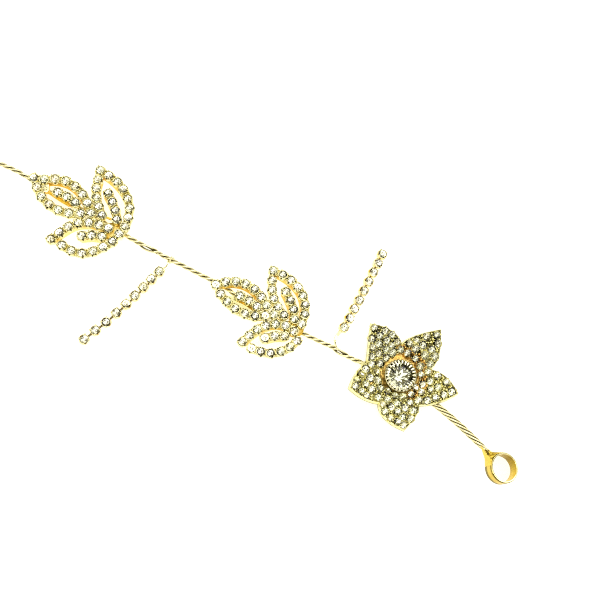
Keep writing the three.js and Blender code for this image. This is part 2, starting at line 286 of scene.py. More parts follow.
def tube(path, radius, sides=12, tone=0.0, frames=None, ends=True, pitch_tone=None, groove=(26.0, 55.0)):
    """Round wire along a path, with rounded ends. pitch_tone is a direction for each
    point: the wire gets painted groove shade from the first groove angle, counted from the side that
    faces away from that direction, and fully from the second."""
    path = np.asarray(path, float)
    t, n, b = frames if frames is not None else carried_frames(path)
    radius = np.broadcast_to(np.asarray(radius, float), (len(path),)).copy()
    ang = np.arange(sides) * 2 * math.pi / sides
    rings, tones = [], []
    for i, p in enumerate(path):
        d = np.outer(np.cos(ang), n[i]) + np.outer(np.sin(ang), b[i])
        rings.append(p + d * radius[i])
        if pitch_tone is not None:
            k = d @ pitch_tone[i]
            off = np.degrees(np.arccos(np.clip(-k, -1, 1)))
            tones.append(np.clip((off - groove[0]) / (groove[1] - groove[0]), 0, 1))
        else:
            tones.append(np.full(sides, tone))
    if ends:
        for where, s in ((0, -1), (-1, 1)):
            base, r = path[where], radius[where]
            for q in (0.5, 0.85):
                ring = base + t[where] * s * r * math.sin(q * math.pi / 2) + \
                    (np.outer(np.cos(ang), n[where]) + np.outer(np.sin(ang), b[where])) * r * math.cos(q * math.pi / 2)
                if s < 0:
                    rings.insert(0, ring)
                    tones.insert(0, tones[0])
                else:
                    rings.append(ring)
                    tones.append(tones[-1])
    return rings_to_shell(rings, np.concatenate(tones))


def rounded_box_section(half_w, half_h, corner, steps=3):
    """Anticlockwise outline of a rounded rectangle."""
    out = []
    for cx, cy, a0 in ((1, 1, 0), (-1, 1, 90), (-1, -1, 180), (1, -1, 270)):
        for k in range(steps + 1):
            a = math.radians(a0 + 90 * k / steps)
            out.append((cx * (half_w - corner) + corner * math.cos(a),
                        cy * (half_h - corner) + corner * math.sin(a)))
    return out


def catmull(points, step):
    """Centripetal Catmull-Rom through points, resampled at an even step."""
    p = np.asarray(points, float)
    p = np.vstack([2 * p[0] - p[1], p, 2 * p[-1] - p[-2]])
    out = []
    for i in range(1, len(p) - 2):
        p0, p1, p2, p3 = p[i - 1:i + 3]
        t0 = 0.0
        t1 = t0 + max(np.linalg.norm(p1 - p0), 1e-6) ** 0.5
        t2 = t1 + max(np.linalg.norm(p2 - p1), 1e-6) ** 0.5
        t3 = t2 + max(np.linalg.norm(p3 - p2), 1e-6) ** 0.5
        for u in np.linspace(t1, t2, 40, endpoint=False):
            a1 = (t1 - u) / (t1 - t0) * p0 + (u - t0) / (t1 - t0) * p1
            a2 = (t2 - u) / (t2 - t1) * p1 + (u - t1) / (t2 - t1) * p2
            a3 = (t3 - u) / (t3 - t2) * p2 + (u - t2) / (t3 - t2) * p3
            b1 = (t2 - u) / (t2 - t0) * a1 + (u - t0) / (t2 - t0) * a2
            b2 = (t3 - u) / (t3 - t1) * a2 + (u - t1) / (t3 - t1) * a3
            out.append((t2 - u) / (t2 - t1) * b1 + (u - t1) / (t2 - t1) * b2)
    out.append(p[-2])
    out = np.array(out)
    s = np.concatenate([[0], np.cumsum(np.linalg.norm(np.diff(out, axis=0), axis=1))])
    n = max(2, int(round(s[-1] / step)) + 1)
    q = np.linspace(0, s[-1], n)
    return np.stack([np.interp(q, s, out[:, k]) for k in range(3)], 1), q


def along(curve, n, spread=0.0):
    """Evenly spaced points of a cubic curve with the direction at each."""
    x0, y0, x1, y1, x2, y2, x3, y3 = curve
    u = np.linspace(0, 1, 401)[:, None]
    c = np.array([[x0, y0], [x1, y1], [x2, y2], [x3, y3]], float)
    p = (1 - u) ** 3 * c[0] + 3 * (1 - u) ** 2 * u * c[1] + 3 * (1 - u) * u ** 2 * c[2] + u ** 3 * c[3]
    s = np.concatenate([[0], np.cumsum(np.linalg.norm(np.diff(p, axis=0), axis=1))])
    q = np.linspace(0, 1, n)
    q = np.minimum(1, q + spread * q * (1 - q)) * s[-1]
    pts = np.stack([np.interp(q, s, p[:, 0]), np.interp(q, s, p[:, 1])], 1)
    e = 0.02 * s[-1]
    ahead = np.stack([np.interp(np.minimum(q + e, s[-1]), s, p[:, k]) for k in (0, 1)], 1)
    behind = np.stack([np.interp(np.maximum(q - e, 0), s, p[:, k]) for k in (0, 1)], 1)
    d = ahead - behind
    return pts, np.arctan2(d[:, 1], d[:, 0])


def place_at(pos, up=(0, 0, 1), turn=0.0):
    """Rotation and origin of a local frame whose X lies at `turn` seen from above."""
    z = unit(up)
    x = np.array([math.cos(turn), math.sin(turn), 0.0])
    x = unit(x - z * np.dot(x, z))
    return np.stack([x, np.cross(z, x), z], 1), np.asarray(pos, float)


def turned(place, angle):
    c, s = math.cos(angle), math.sin(angle)
    return place[0] @ np.array([[c, -s, 0], [s, c, 0], [0, 0, 1.0]]), place[1]


def leaned(place, about, angle):
    """Turns a local frame about one of its own level axes (angle from its X)."""
    ax = place[0] @ np.array([math.cos(about), math.sin(about), 0.0])
    c, s = math.cos(angle), math.sin(angle)
    k = np.array([[0, -ax[2], ax[1]], [ax[2], 0, -ax[0]], [-ax[1], ax[0], 0]])
    return (np.eye(3) + s * k + (1 - c) * k @ k) @ place[0], place[1]


# ------------------------------------------------------------------ stones and cups
def brilliant(r, table, crown, girdle, pavilion, at=0.0):
    """Round brilliant. at is the height of the girdle's middle. Returns the shell and,
    for each face, 0 for the polished crown and girdle or 1 for the foiled back."""
    t, g = table * r, girdle / 2
    verts, faces, mats = [], [], []
    ring = lambda rad, z, n, off: [(rad * math.cos(math.radians(off + 360 * k / n)),
                                    rad * math.sin(math.radians(off + 360 * k / n)), z) for k in range(n)]
    mid_r = (t + r) / 2 * 1.03
    mid_z = crown * (r - mid_r * math.cos(math.pi / 8)) / (r - t)
    low_r = 0.42 * r
    low_z = -pavilion * (1 - low_r * math.cos(math.pi / 8) / r)
    T = list(range(0, 8)); verts += ring(t, at + g + crown, 8, 0)
    M = list(range(8, 16)); verts += ring(mid_r, at + g + mid_z, 8, 22.5)
    U = list(range(16, 32)); verts += ring(r, at + g, 16, 0)
    L = list(range(32, 48)); verts += ring(r, at - g, 16, 0)
    P = list(range(48, 56)); verts += ring(low_r, at - g + low_z, 8, 22.5)
    C = 56; verts.append((0, 0, at - g - pavilion))

    def face(ids, m):
        faces.append(tuple(ids)); mats.append(m)
    face(T, 0)
    for k in range(8):
        n = (k + 1) % 8
        face((T[k], M[k], T[n]), 0)
        face((T[k], M[k - 1], U[2 * k], M[k]), 0)
        face((M[k], U[2 * k], U[2 * k + 1]), 0)
        face((M[k], U[2 * k + 1], U[(2 * k + 2) % 16]), 0)
        face((C, P[k], L[2 * k], P[k - 1]), 1)
        face((P[k], L[2 * k + 1], L[2 * k]), 1)
        face((P[k], L[(2 * k + 2) % 16], L[2 * k + 1]), 1)
    for k in range(16):
        n = (k + 1) % 16
        face((L[k], L[n], U[n], U[k]), 0)
    return (np.array(verts), faces, 0.0), mats


def chaton(r, table, crown, girdle, pavilion, at=0.0, n=8):
    """Small stone with one row of facets above and one below. Returns the shell and, for
    each face, 0 for the polished side or 1 for the foiled back."""
    t, g = table * r, girdle / 2
    half = math.cos(math.pi / n)
    dip = crown * (1 - half) / (half - table * half)
    rise = pavilion * (1 / half - 1)
    spot = lambda rad, z, k, parts: (rad * math.cos(2 * math.pi * k / parts), rad * math.sin(2 * math.pi * k / parts), z)
    verts = [spot(t, at + g + crown, k, n) for k in range(n)]
    verts += [spot(r, at + g - dip * (k % 2), k, 2 * n) for k in range(2 * n)]
    verts += [spot(r, at - g - dip + rise * (k % 2) * 0.5, k, 2 * n) for k in range(2 * n)]
    verts.append((0, 0, at - g - dip - pavilion))
    U, L, C = n, 3 * n, 5 * n
    faces, mats = [tuple(range(n))], [0]
    for k in range(n):
        j = (k + 1) % n
        a, b, c = 2 * k, 2 * k + 1, (2 * k + 2) % (2 * n)
        faces += [(k, U + a, U + b, U + c, j), (C, L + c, L + b, L + a)]
        mats += [0, 1]
    for k in range(2 * n):
        j = (k + 1) % (2 * n)
        faces.append((L + k, L + j, U + j, U + k))
        mats.append(0)
    return (np.array(verts), faces, 0.0), mats


def prong(path, widths, thick, angle, sides=8):
    """A claw: a flat strip bent along (radius, height) points, at an angle about Z."""
    pts = np.array([(r, 0.0, z) for r, z in path], float)
    t = tangents(pts)
    n = np.tile(np.array([0.0, 1.0, 0.0]), (len(pts), 1))
    b = np.cross(t, n)
    rings, tone = [], []
    for i in range(len(pts)):
        ring = []
        for k in range(sides):
            a = 2 * math.pi * k / sides + math.pi / sides
            ca, sa = math.cos(a), math.sin(a)
            w = math.copysign(abs(ca) ** 0.75, ca) * widths[i] / 2
            h = math.copysign(abs(sa) ** 0.75, sa) * thick[i] / 2
            ring.append(pts[i] + n[i] * w + b[i] * h)
        rings.append(ring)
        # painted shade: darker at the claw's foot, clear at its tip
        tone.append(max(0.0, 0.55 - 0.55 * i / (len(pts) - 1)))
    shell = rings_to_shell(rings, np.array(tone))
    ca, sa = math.cos(angle), math.sin(angle)
    rot = np.array([[ca, -sa, 0], [sa, ca, 0], [0, 0, 1.0]])
    return shell[0] @ rot.T, shell[1], shell[2]


def stone_cup(r, low, rim, over, claw_w, claw_t, band, notches, sides=40, offset=45.0, count=4, depth=1.0,
              shade=0.0, seat=0.4, edge=0.05):
    """Round collar with claws. r is the stone's radius, low and rim the collar's heights,
    over how far the claws reach in over the stone, band how broad the collar is. notches
    are the gaps in the collar: (angle, half width), in degrees; they dip and are painted fully dark.
    shade, seat and edge are painted shade: shade darkens its side and claws, seat the part under
    the stone and edge the collar's inner edge. The collar's foot is always painted dark."""
    form = Form()
    out, inn = r + band, r + 0.05
    verts, faces, tone = lathe(
        [(0, low), (out - 0.14, low), (out - 0.03, low + 0.08), (out, low + 0.25), (out, rim - 0.30),
         (out - 0.03, rim - 0.08), (out - 0.11, rim), (inn + 0.04, rim - 0.01), (inn, rim - 0.08), (inn * 0.75, rim - 0.42),
         (inn * 0.35, rim - 0.80), (0, rim - depth)], sides,
        tone=[1.0, 1.0, 0.6 + 0.4 * shade, 0.15 + 0.85 * shade, shade, 0.7 * shade, 0.0, edge, seat, 0.6 + 0.4 * seat, 1.0, 1.0])
    around = np.degrees(np.arctan2(verts[:, 1], verts[:, 0]))
    dip = np.zeros(len(verts))
    for angle, width in notches:
        off = np.abs((around - angle + 180) % 360 - 180)
        dip = np.maximum(dip, 1 - smooth01(off, width * 0.35, width))
    upper = (verts[:, 2] > rim - 0.35) & (np.hypot(verts[:, 0], verts[:, 1]) > inn - 0.02)
    verts[upper, 2] -= 0.28 * dip[upper]
    tone = np.where(upper, np.maximum(tone, dip), tone)
    form.add((verts, faces, tone))
    for k in range(count):
        a = math.radians(offset + 360 * k / count)
        path = [(out - 0.02, low + 0.25), (out + 0.05, rim - 0.2), (out + 0.04, rim + 0.06),
                (out - 0.08, rim + 0.20), (out - 0.08 - over * 0.55, rim + 0.27), (out - 0.10 - over, rim + 0.22)]
        widths = [claw_w * 1.1, claw_w * 1.05, claw_w, claw_w * 0.95, claw_w * 0.8, claw_w * 0.5]
        thick = [claw_t, claw_t, claw_t, claw_t, claw_t * 0.9, claw_t * 0.5]
        verts, faces, tone = prong(path, widths, thick, a)
        form.add((verts, faces, np.clip(tone * (0.6 + 1.3 * shade), 0, 1)))
    return form


NOTCHES = [
    # gaps in a collar: (angle from the row's line, half width), degrees
    ((90, 26), (272, 22)),
    ((76, 18), (112, 16), (281, 28)),
    ((98, 28), (252, 16)),
    ((84, 22), (262, 20), (296, 14)),
]
ROW_NOTCHES = [
    # the same for the sprays' cups, which are rougher
    ((90, 15), (158, 11), (268, 15), (20, 10), (205, 9)),
    ((78, 12), (110, 12), (285, 16), (338, 10)),
    ((98, 16), (252, 12), (180, 10), (300, 11)),
    ((66, 11), (118, 13), (262, 13), (312, 12), (0, 9)),
    ((104, 12), (78, 10), (228, 11), (276, 14)),
]
ROW_CUPS = [stone_cup(ROW_R, 0.10, 1.42, 0.32, 0.36, 0.22, 0.36, cuts, depth=0.9, sides=48) for cuts in ROW_NOTCHES]
CHAIN_CUPS = [stone_cup(CHAIN_R, 0.06, 1.42, 0.34, 0.38, 0.22, 0.30, cuts, depth=0.95, shade=0.12, seat=1.0, edge=0.75) for cuts in NOTCHES]
for cup in CHAIN_CUPS:
    # the sides take the second material, as the bars do: a painted orange reflection
    heights = np.concatenate(cup.v)[:, 2]
    cup.m = [1 if np.mean(heights[list(f)]) < 1.15 else 0 for f in cup.f]
# copies of the flower's cup painted with more or less shade: PALE_CUPS painted lighter, as lit
PAVE_CUPS = [stone_cup(PAVE_R, 0.0, 1.25, 0.30, 0.38, 0.24, 0.17, cuts, sides=36, depth=0.9, shade=0.35, seat=0.7) for cuts in NOTCHES]
WARM_CUPS = [stone_cup(PAVE_R, 0.0, 1.25, 0.30, 0.38, 0.24, 0.17, cuts, sides=36, depth=0.9, shade=0.5, seat=0.7) for cuts in NOTCHES]
PALE_CUPS = [stone_cup(PAVE_R, 0.0, 1.25, 0.30, 0.38, 0.24, 0.17, cuts, sides=36, depth=0.9, shade=0.0, seat=0.35) for cuts in NOTCHES]
for cup in PALE_CUPS:
    cup.tone = [0.55 * part for part in cup.tone]
for cup in WARM_CUPS:
    cup.m = [1] * len(cup.m)
CUTS = [
    # table, crown height and back depth, as parts of the stone's radius
    (0.62, 0.17, 0.50), (0.56, 0.20, 0.43), (0.66, 0.15, 0.57), (0.60, 0.23, 0.62), (0.58, 0.18, 0.38), (0.60, 0.17, 0.24),
]
PAVE_CUTS = [
    # table, crown height, back depth, sides
    (0.60, 0.17, 0.27, 8), (0.56, 0.20, 0.20, 8), (0.50, 0.26, 0.30, 9), (0.62, 0.17, 0.50, 8), (0.52, 0.22, 0.36, 7),
]
ROW_STONES = [chaton(ROW_R, t, c * ROW_R, 0.06, d * ROW_R, at=1.44) for t, c, d in CUTS]
SMALL_STONES = [chaton(CHAIN_R, t, c * CHAIN_R, 0.06, d * CHAIN_R, at=1.44) for t, c, d in CUTS]
PAVE_STONES = [chaton(PAVE_R, t, c * PAVE_R, 0.06, d * PAVE_R, at=1.27, n=n) for t, c, d, n in PAVE_CUTS]


def set_stone(stones, kinds, place, tilt=5.0, in_shade=False):
    """Puts a stone in its seat, turned and tipped a little at random."""
    shell, mats = kinds[int(rng.integers(len(kinds)))]
    p = turned(place, rng.uniform(0, 2 * math.pi))
    p = leaned(p, rng.uniform(0, 2 * math.pi), math.radians(rng.uniform(0, tilt)))
    # the stones of the far petals get the darker foil on their backs: painted shade
    stones.add(shell, p, mat=[2 if m == 1 and in_shade else m for m in mats], lot=float(rng.uniform(0, 1)))


# ------------------------------------------------------------------ materials
def nodes_of(name):
    mat = bpy.data.materials.new(name)
    mat.use_nodes = True
    tree = mat.node_tree
    bsdf = tree.nodes["Principled BSDF"]
    return mat, tree, bsdf


def node(tree, kind, **settings):
    n = tree.nodes.new(kind)
    for key, value in settings.items():
        if hasattr(n, key):
            setattr(n, key, value)
        else:
            n.inputs[key.replace("_", " ")].default_value = value
    return n


def noise(tree, coords, scale, detail=3.0, rough=0.5, stretch=None):
    tex = node(tree, "ShaderNodeTexNoise")
    tex.inputs["Scale"].default_value = scale
    tex.inputs["Detail"].default_value = detail
    tex.inputs["Roughness"].default_value = rough
    if stretch:
        m = node(tree, "ShaderNodeMapping")
        m.inputs["Scale"].default_value = stretch[:3]
        m.inputs["Rotation"].default_value = (0, 0, stretch[3])
        tree.links.new(coords, m.inputs["Vector"])
        coords = m.outputs["Vector"]
    tree.links.new(coords, tex.inputs["Vector"])
    return tex.outputs["Fac"]


def ramp(tree, fac, stops):
    r = node(tree, "ShaderNodeValToRGB")
    while len(r.color_ramp.elements) < len(stops):
        r.color_ramp.elements.new(0.5)
    for e, (pos, col) in zip(r.color_ramp.elements, stops):
        e.position = pos
        e.color = (*col, 1.0) if len(col) == 3 else col
    tree.links.new(fac, r.inputs["Fac"])
    return r.outputs["Color"]


def remap(tree, value, lo, hi, a=0.0, b=1.0):
    m = node(tree, "ShaderNodeMapRange")
    m.inputs["From Min"].default_value = a
    m.inputs["From Max"].default_value = b
    m.inputs["To Min"].default_value = lo
    m.inputs["To Max"].default_value = hi
    tree.links.new(value, m.inputs["Value"])
    return m.outputs["Result"]


def mix(tree, fac, a, b, blend="MIX"):
    m = node(tree, "ShaderNodeMix", data_type="RGBA", blend_type=blend)
    for sock, value in ((m.inputs[0], fac), (m.inputs[6], a), (m.inputs[7], b)):
        if isinstance(value, bpy.types.NodeSocket):
            tree.links.new(value, sock)
        elif isinstance(value, tuple):
            sock.default_value = (*value, 1.0)
        else:
            sock.default_value = value
    return m.outputs[2]


def math_node(tree, op, a, b):
    m = node(tree, "ShaderNodeMath", operation=op)
    for sock, value in ((m.inputs[0], a), (m.inputs[1], b)):
        if isinstance(value, bpy.types.NodeSocket):
            tree.links.new(value, sock)
        else:
            sock.default_value = value
    return m.outputs[0]


def gold(name, bright, warm, deep, rough, grain=1.0):
    """Plated gold: two close tones, painted shade that is darker and redder in crevices, fine wiping marks."""
    mat, tree, bsdf = nodes_of(name)
    coords = node(tree, "ShaderNodeTexCoord").outputs["Object"]
    tone = node(tree, "ShaderNodeAttribute", attribute_name="tone").outputs["Fac"]
    lot = node(tree, "ShaderNodeAttribute", attribute_name="lot").outputs["Fac"]
    patches = noise(tree, coords, 420.0, 3.0, 0.55)
    col = mix(tree, remap(tree, patches, 0.0, 1.0, 0.35, 0.7), bright, warm)
    col = mix(tree, remap(tree, lot, 0.0, 0.35), col, warm)
    spots = noise(tree, coords, 2300.0, 4.0, 0.65)
    # painted shade: the deep colour mixed in where tone is high, mottled a little by the spots
    painted_shade = math_node(tree, "MULTIPLY", math_node(tree, "POWER", tone, 1.6), remap(tree, spots, 0.82, 1.05, 0.3, 0.7))
    col = mix(tree, painted_shade, col, deep)
    tree.links.new(col, bsdf.inputs["Base Color"])
    bsdf.inputs["Metallic"].default_value = 1.0
    fine = noise(tree, coords, 5200.0, 2.0, 0.6)
    r = remap(tree, fine, rough * 0.75, rough * 1.35, 0.3, 0.7)
    r = math_node(tree, "ADD", r, math_node(tree, "MULTIPLY", painted_shade, 0.12))
    tree.links.new(r, bsdf.inputs["Roughness"])
    marks = noise(tree, coords, 1.0, 3.0, 0.6, stretch=(5200.0, 700.0, 900.0, 0.6))
    dents = noise(tree, coords, 1500.0, 2.0, 0.5)
    height = math_node(tree, "ADD", math_node(tree, "MULTIPLY", marks, 0.35), dents)
    bump = node(tree, "ShaderNodeBump")
    bump.inputs["Strength"].default_value = 0.35 * grain
    bump.inputs["Distance"].default_value = 0.00004
    tree.links.new(height, bump.inputs["Height"])
    tree.links.new(bump.outputs["Normal"], bsdf.inputs["Normal"])
    return mat


def crystal(name):
    """Clear cut glass: a breath of tint that differs from stone to stone, faint polish marks."""
    mat, tree, bsdf = nodes_of(name)
    coords = node(tree, "ShaderNodeTexCoord").outputs["Object"]
    lot = node(tree, "ShaderNodeAttribute", attribute_name="lot").outputs["Fac"]
    tint = ramp(tree, lot, [(0.0, (1.0, 1.0, 1.0)), (0.45, (1.0, 0.99, 0.955)), (0.75, (0.965, 0.99, 0.96)), (1.0, (1.0, 0.975, 0.92))])
    cloud = noise(tree, coords, 900.0, 2.0, 0.5)
    col = mix(tree, remap(tree, cloud, 0.0, 0.06, 0.4, 0.7), tint, (0.90, 0.92, 0.86))
    tree.links.new(col, bsdf.inputs["Base Color"])
    bsdf.inputs["Transmission Weight"].default_value = 1.0
    bsdf.inputs["IOR"].default_value = 1.58
    rub = noise(tree, coords, 3800.0, 3.0, 0.6)
    tree.links.new(remap(tree, rub, 0.0, 0.03, 0.45, 0.75), bsdf.inputs["Roughness"])
    return mat


def foil(name, tint=(1.0, 1.0, 1.0), rough=(0.03, 0.10)):
    """Mirror backing of a stone: silver with a little of the gold lacquer behind it."""
    mat, tree, bsdf = nodes_of(name)
    coords = node(tree, "ShaderNodeTexCoord").outputs["Object"]
    lot = node(tree, "ShaderNodeAttribute", attribute_name="lot").outputs["Fac"]
    base = ramp(tree, lot, [(0.0, (0.97, 0.96, 0.93)), (0.4, (0.97, 0.95, 0.88)), (0.7, (0.93, 0.93, 0.84)), (1.0, (0.96, 0.91, 0.78))])
    patch = noise(tree, coords, 1400.0, 2.0, 0.5)
    col = mix(tree, remap(tree, patch, 0.0, 0.14, 0.5, 0.75), base, (0.74, 0.66, 0.42))
    col = mix(tree, 1.0, col, tint, blend="MULTIPLY")
    tree.links.new(col, bsdf.inputs["Base Color"])
    bsdf.inputs["Metallic"].default_value = 1.0
    tree.links.new(remap(tree, patch, *rough), bsdf.inputs["Roughness"])
    return mat


# deep is the colour that tone mixes in: painted shade on most golds, a painted orange reflection on the bars and the
# chain sides
WIRE = gold("gold_wire", (0.95, 0.88, 0.55), (0.92, 0.82, 0.43), (0.07, 0.055, 0.010), 0.17)
CUPS = gold("gold_cups", (0.96, 0.91, 0.56), (0.94, 0.86, 0.42), (0.10, 0.088, 0.018), 0.20)
BARS = gold("gold_bars", (0.97, 0.90, 0.56), (0.95, 0.83, 0.42), (0.85, 0.52, 0.03), 0.26)
CHAIN_GOLD = gold("gold_chains", (0.96, 0.91, 0.58), (0.94, 0.85, 0.46), (0.11, 0.07, 0.018), 0.20)
CHAIN_SIDE = gold("gold_chain_sides", (0.96, 0.90, 0.56), (0.94, 0.83, 0.44), (0.45, 0.27, 0.05), 0.22)
PLATE = gold("gold_plate", (0.95, 0.91, 0.52), (0.92, 0.85, 0.38), (0.13, 0.122, 0.022), 0.24)
DISC = gold("gold_disc", (0.93, 0.66, 0.22), (0.88, 0.56, 0.14), (0.13, 0.085, 0.012), 0.28, grain=1.5)
TOOTH_GOLD = gold("gold_teeth", (0.98, 0.94, 0.74), (0.95, 0.87, 0.56), (0.10, 0.08, 0.02), 0.16)
RING = gold("gold_ring", (0.80, 0.60, 0.14), (0.70, 0.50, 0.07), (0.12, 0.09, 0.010), 0.28, grain=1.2)
BORE = gold("gold_ring_inside", (0.88, 0.66, 0.10), (0.80, 0.54, 0.06), (0.20, 0.13, 0.008), 0.28, grain=1.2)
CRYSTAL = crystal("crystal_clear")
FOIL = foil("crystal_foil", (0.93, 0.94, 0.87))
# darker foil for the stones of the two far petals: painted shade
FOIL_IN_SHADE = foil("crystal_foil_in_shade", (0.66, 0.67, 0.55))
FOIL_PAVE = foil("crystal_foil_flower", (0.89, 0.91, 0.76), (0.06, 0.14))
GEM = [CRYSTAL, FOIL]


# ------------------------------------------------------------------ wires
def bump_at(x, centre, width, height):
    return height * np.exp(-((x - centre) / width) ** 2)


def twisted(form, route, strands, radius, offset, pitch, phase, step, sides, lift=(), loose=(), gather=None,
            groove=(26.0, 55.0)):
    """Strands laid together as a left-handed twist about a route. lift raises the wire at
    places, loose lets one strand stand off to the side, gather draws the strands in."""
    core, s = catmull(route, step)
    for centre, width, height in lift:
        core[:, 2] += bump_at(core[:, 0], centre, width, height)
    t, n, b = side_frames(core)
    turn = phase - 2 * math.pi * s / pitch
    away = np.zeros((strands, len(core)))
    for centre, width, out in loose:
        i = int(np.argmin(abs(core[:, 0] - centre)))
        angles = [(turn[i] + 2 * math.pi * j / strands - math.pi) % (2 * math.pi) for j in range(strands)]
        off = [(q + math.pi) % (2 * math.pi) - math.pi for q in angles]
        j = int(np.argmin(np.abs(off)))
        turn = turn - off[j] * smooth01(s, s[i] - 9.0, s[i] - 0.8)
        k = bump_at(core[:, 0], centre, width, 1.0)
        turn = turn + 2 * math.pi / pitch * 0.75 * k * (s - s[i])
        away[j] -= out * k
        for q in range(strands):
            if q != j:
                away[q] += 0.22 * out * k
    pull = np.ones(len(core))
    if gather:
        pull = 1 - gather[1] * smooth01(s, s[-1] - gather[0], s[-1])
    for j in range(strands):
        a = turn + 2 * math.pi * j / strands
        wob = 0.02 * np.sin(s * 0.9 + j * 2.1) + 0.015 * np.sin(s * 2.3 + j)
        r = (offset + wob) * pull
        d = n * np.cos(a)[:, None] + b * np.sin(a)[:, None]
        path = core + d * r[:, None] + n * away[j][:, None]
        path[:, 2] = np.maximum(path[:, 2], radius + 0.005)
        # each strand gets painted shade on the sides that face its neighbours
        form.add(tube(path, radius, sides, frames=side_frames(path), pitch_tone=-d, groove=groove), lot=0.3 * j)


stem = Form()
LIFTS = [(-15.9, 1.6, 0.30)]
twisted(stem, STEM_ROUTE, 3, STEM_R, STEM_OFF, STEM_PITCH, 0.4, 0.2, 12, lift=LIFTS,
        loose=[(-22.6, 2.3, 0.42), (34.9, 1.9, 0.36)], groove=(46.0, 98.0))
stem_obj = stem.object("stem_twist", [WIRE])

end = Form()
twisted(end, END_ROUTE, END_STRANDS, END_R, END_OFF, END_PITCH, 0.2, 0.3, 14, gather=(4.2, 0.55), groove=(33.0, 61.0))
twisted(end, END_ROUTE, 1, 0.26, 0.0, END_PITCH, 0.2, 0.6, 8)
end_obj = end.object("end_twist", [WIRE])


# ------------------------------------------------------------------ sprays
def leaf_height(leaf):
    _, _, tx, ty, bx, by, tz, bz = leaf
    ax, ay = tx - bx, ty - by
    k = (tz - bz) / (ax * ax + ay * ay)
    up = unit((-k * ax, -k * ay, 1.0))
    return (lambda x, y: bz + k * ((x - bx) * ax + (y - by) * ay)), up


STEM_LINE, _ = catmull(STEM_ROUTE, 0.5)


FLARE_TO = {"1": (0.72, -0.69), "2": (0.12, -0.99)}     # the side that each spray's bars lean out to


def strip(form, line, height, up, middle, lean_to, warmth, high=0.98, drop=0.6, lot=0.0):
    """Gallery bar that a row of cups stands on: a trough whose side leans out into the
    leaf's opening. It hangs down towards the floor, but stays above the wire. Its outer walls
    get a painted orange reflection on the side that faces the opening, by warmth and lean,
    and its trough is painted in shade."""
    p3 = [(x, y, height(x, y)) for x, y in line]
    path, s = catmull(p3, 0.4)
    t = tangents(path)
    n = unit(np.cross(np.asarray(up), t))
    b = np.cross(t, n)
    rings, tones = [], []
    total = s[-1]
    for i, p in enumerate(path):
        e = min(s[i], total - s[i])
        w = math.sqrt(max(0.02, 1 - max(0.0, 1 - e / 1.2) ** 2))
        near = np.min(np.linalg.norm(STEM_LINE[:, :2] - p[:2], axis=1))
        floor_at = 0.04 + (1.40 - 0.04) * (1 - smooth01(near, 1.9, 3.2))
        section = []
        for side in (1, -1):
            inner = 1.0 if middle is None else float(smooth01(side * np.dot(n[i][:2], middle - p[:2]), -0.6, 0.9))
            lean = inner * float(smooth01(side * np.dot(n[i][:2], lean_to), -0.35, 0.4))
            low = max(-drop * inner, min(0.0, floor_at - p[2]))
            top, bottom = 1.0, 1.04 + 0.36 * lean
            wall = 0.10 + 0.90 * inner * warmth * (0.35 + 0.65 * lean)
            half = [(bottom - 0.10, low, wall), (bottom, low + 0.10, wall), (bottom - 0.05, low + 0.30, wall),
                    (top + 0.10, high - 0.30, wall * 0.9), (top, high - 0.06, wall * 0.5), (top - 0.08, high, 0.08),
                    (top - 0.20, high - 0.04, 0.25), (top - 0.26, 0.22, 0.5)]
            section += half if side > 0 else [(-q, z, tn) for q, z, tn in half[::-1]]
        rings.append([p + n[i] * a * w + b[i] * c for a, c, _ in section])
        tones.extend(tn for _, _, tn in section)
    mats = [0 if 4 <= i <= 10 else 1 for _ in range(len(rings) - 1) for i in range(16)] + [1, 1]
    form.add(rings_to_shell(rings, np.array(tones)), mat=mats, lot=lot)


# strength of the painted orange reflection on the bars' walls, by leaf
WALL_WARMTH = {"A": 1.0, "B": 0.9, "C": 0.45}       # how orange the bars' walls are, by leaf
RIBS = [
    # spray, from height, to height, half width, x and y of the points it runs through
    ("1", 1.36, 2.15, 0.36, -52.5, -2.95, -50.6, -3.05, -48.4, -3.15, -45.6, -3.1),
    ("1", 1.3, 2.0, 0.26, -36.2, -0.75, -35.7, -0.6, -35.2, -0.5, -34.7, -0.45),
    ("1", 1.3, 2.0, 0.24, -34.0, -0.75, -33.6, -0.7, -33.2, -0.68, -32.8, -0.7),
]
FILL_STONES = [
    # a stone set where the leaves meet: spray, x, y
    ("2", 14.84, 0.16),
]
WEBS = [
    # thin sheet between two rows: spray, row, row, thickness, top height, how dark (painted shade)
    ("2", ("2", "A", "spine"), ("2", "A", "low"), 0.15, 1.55, 0.42),
]
TIP_FILLS = [
    # solder that fills a leaf's tip: spray, middle x, y, turn (degrees), half sizes, from height, to height
    ("1", -53.4, -2.6, 30, 1.05, 1.25, 1.36, 2.5),
]


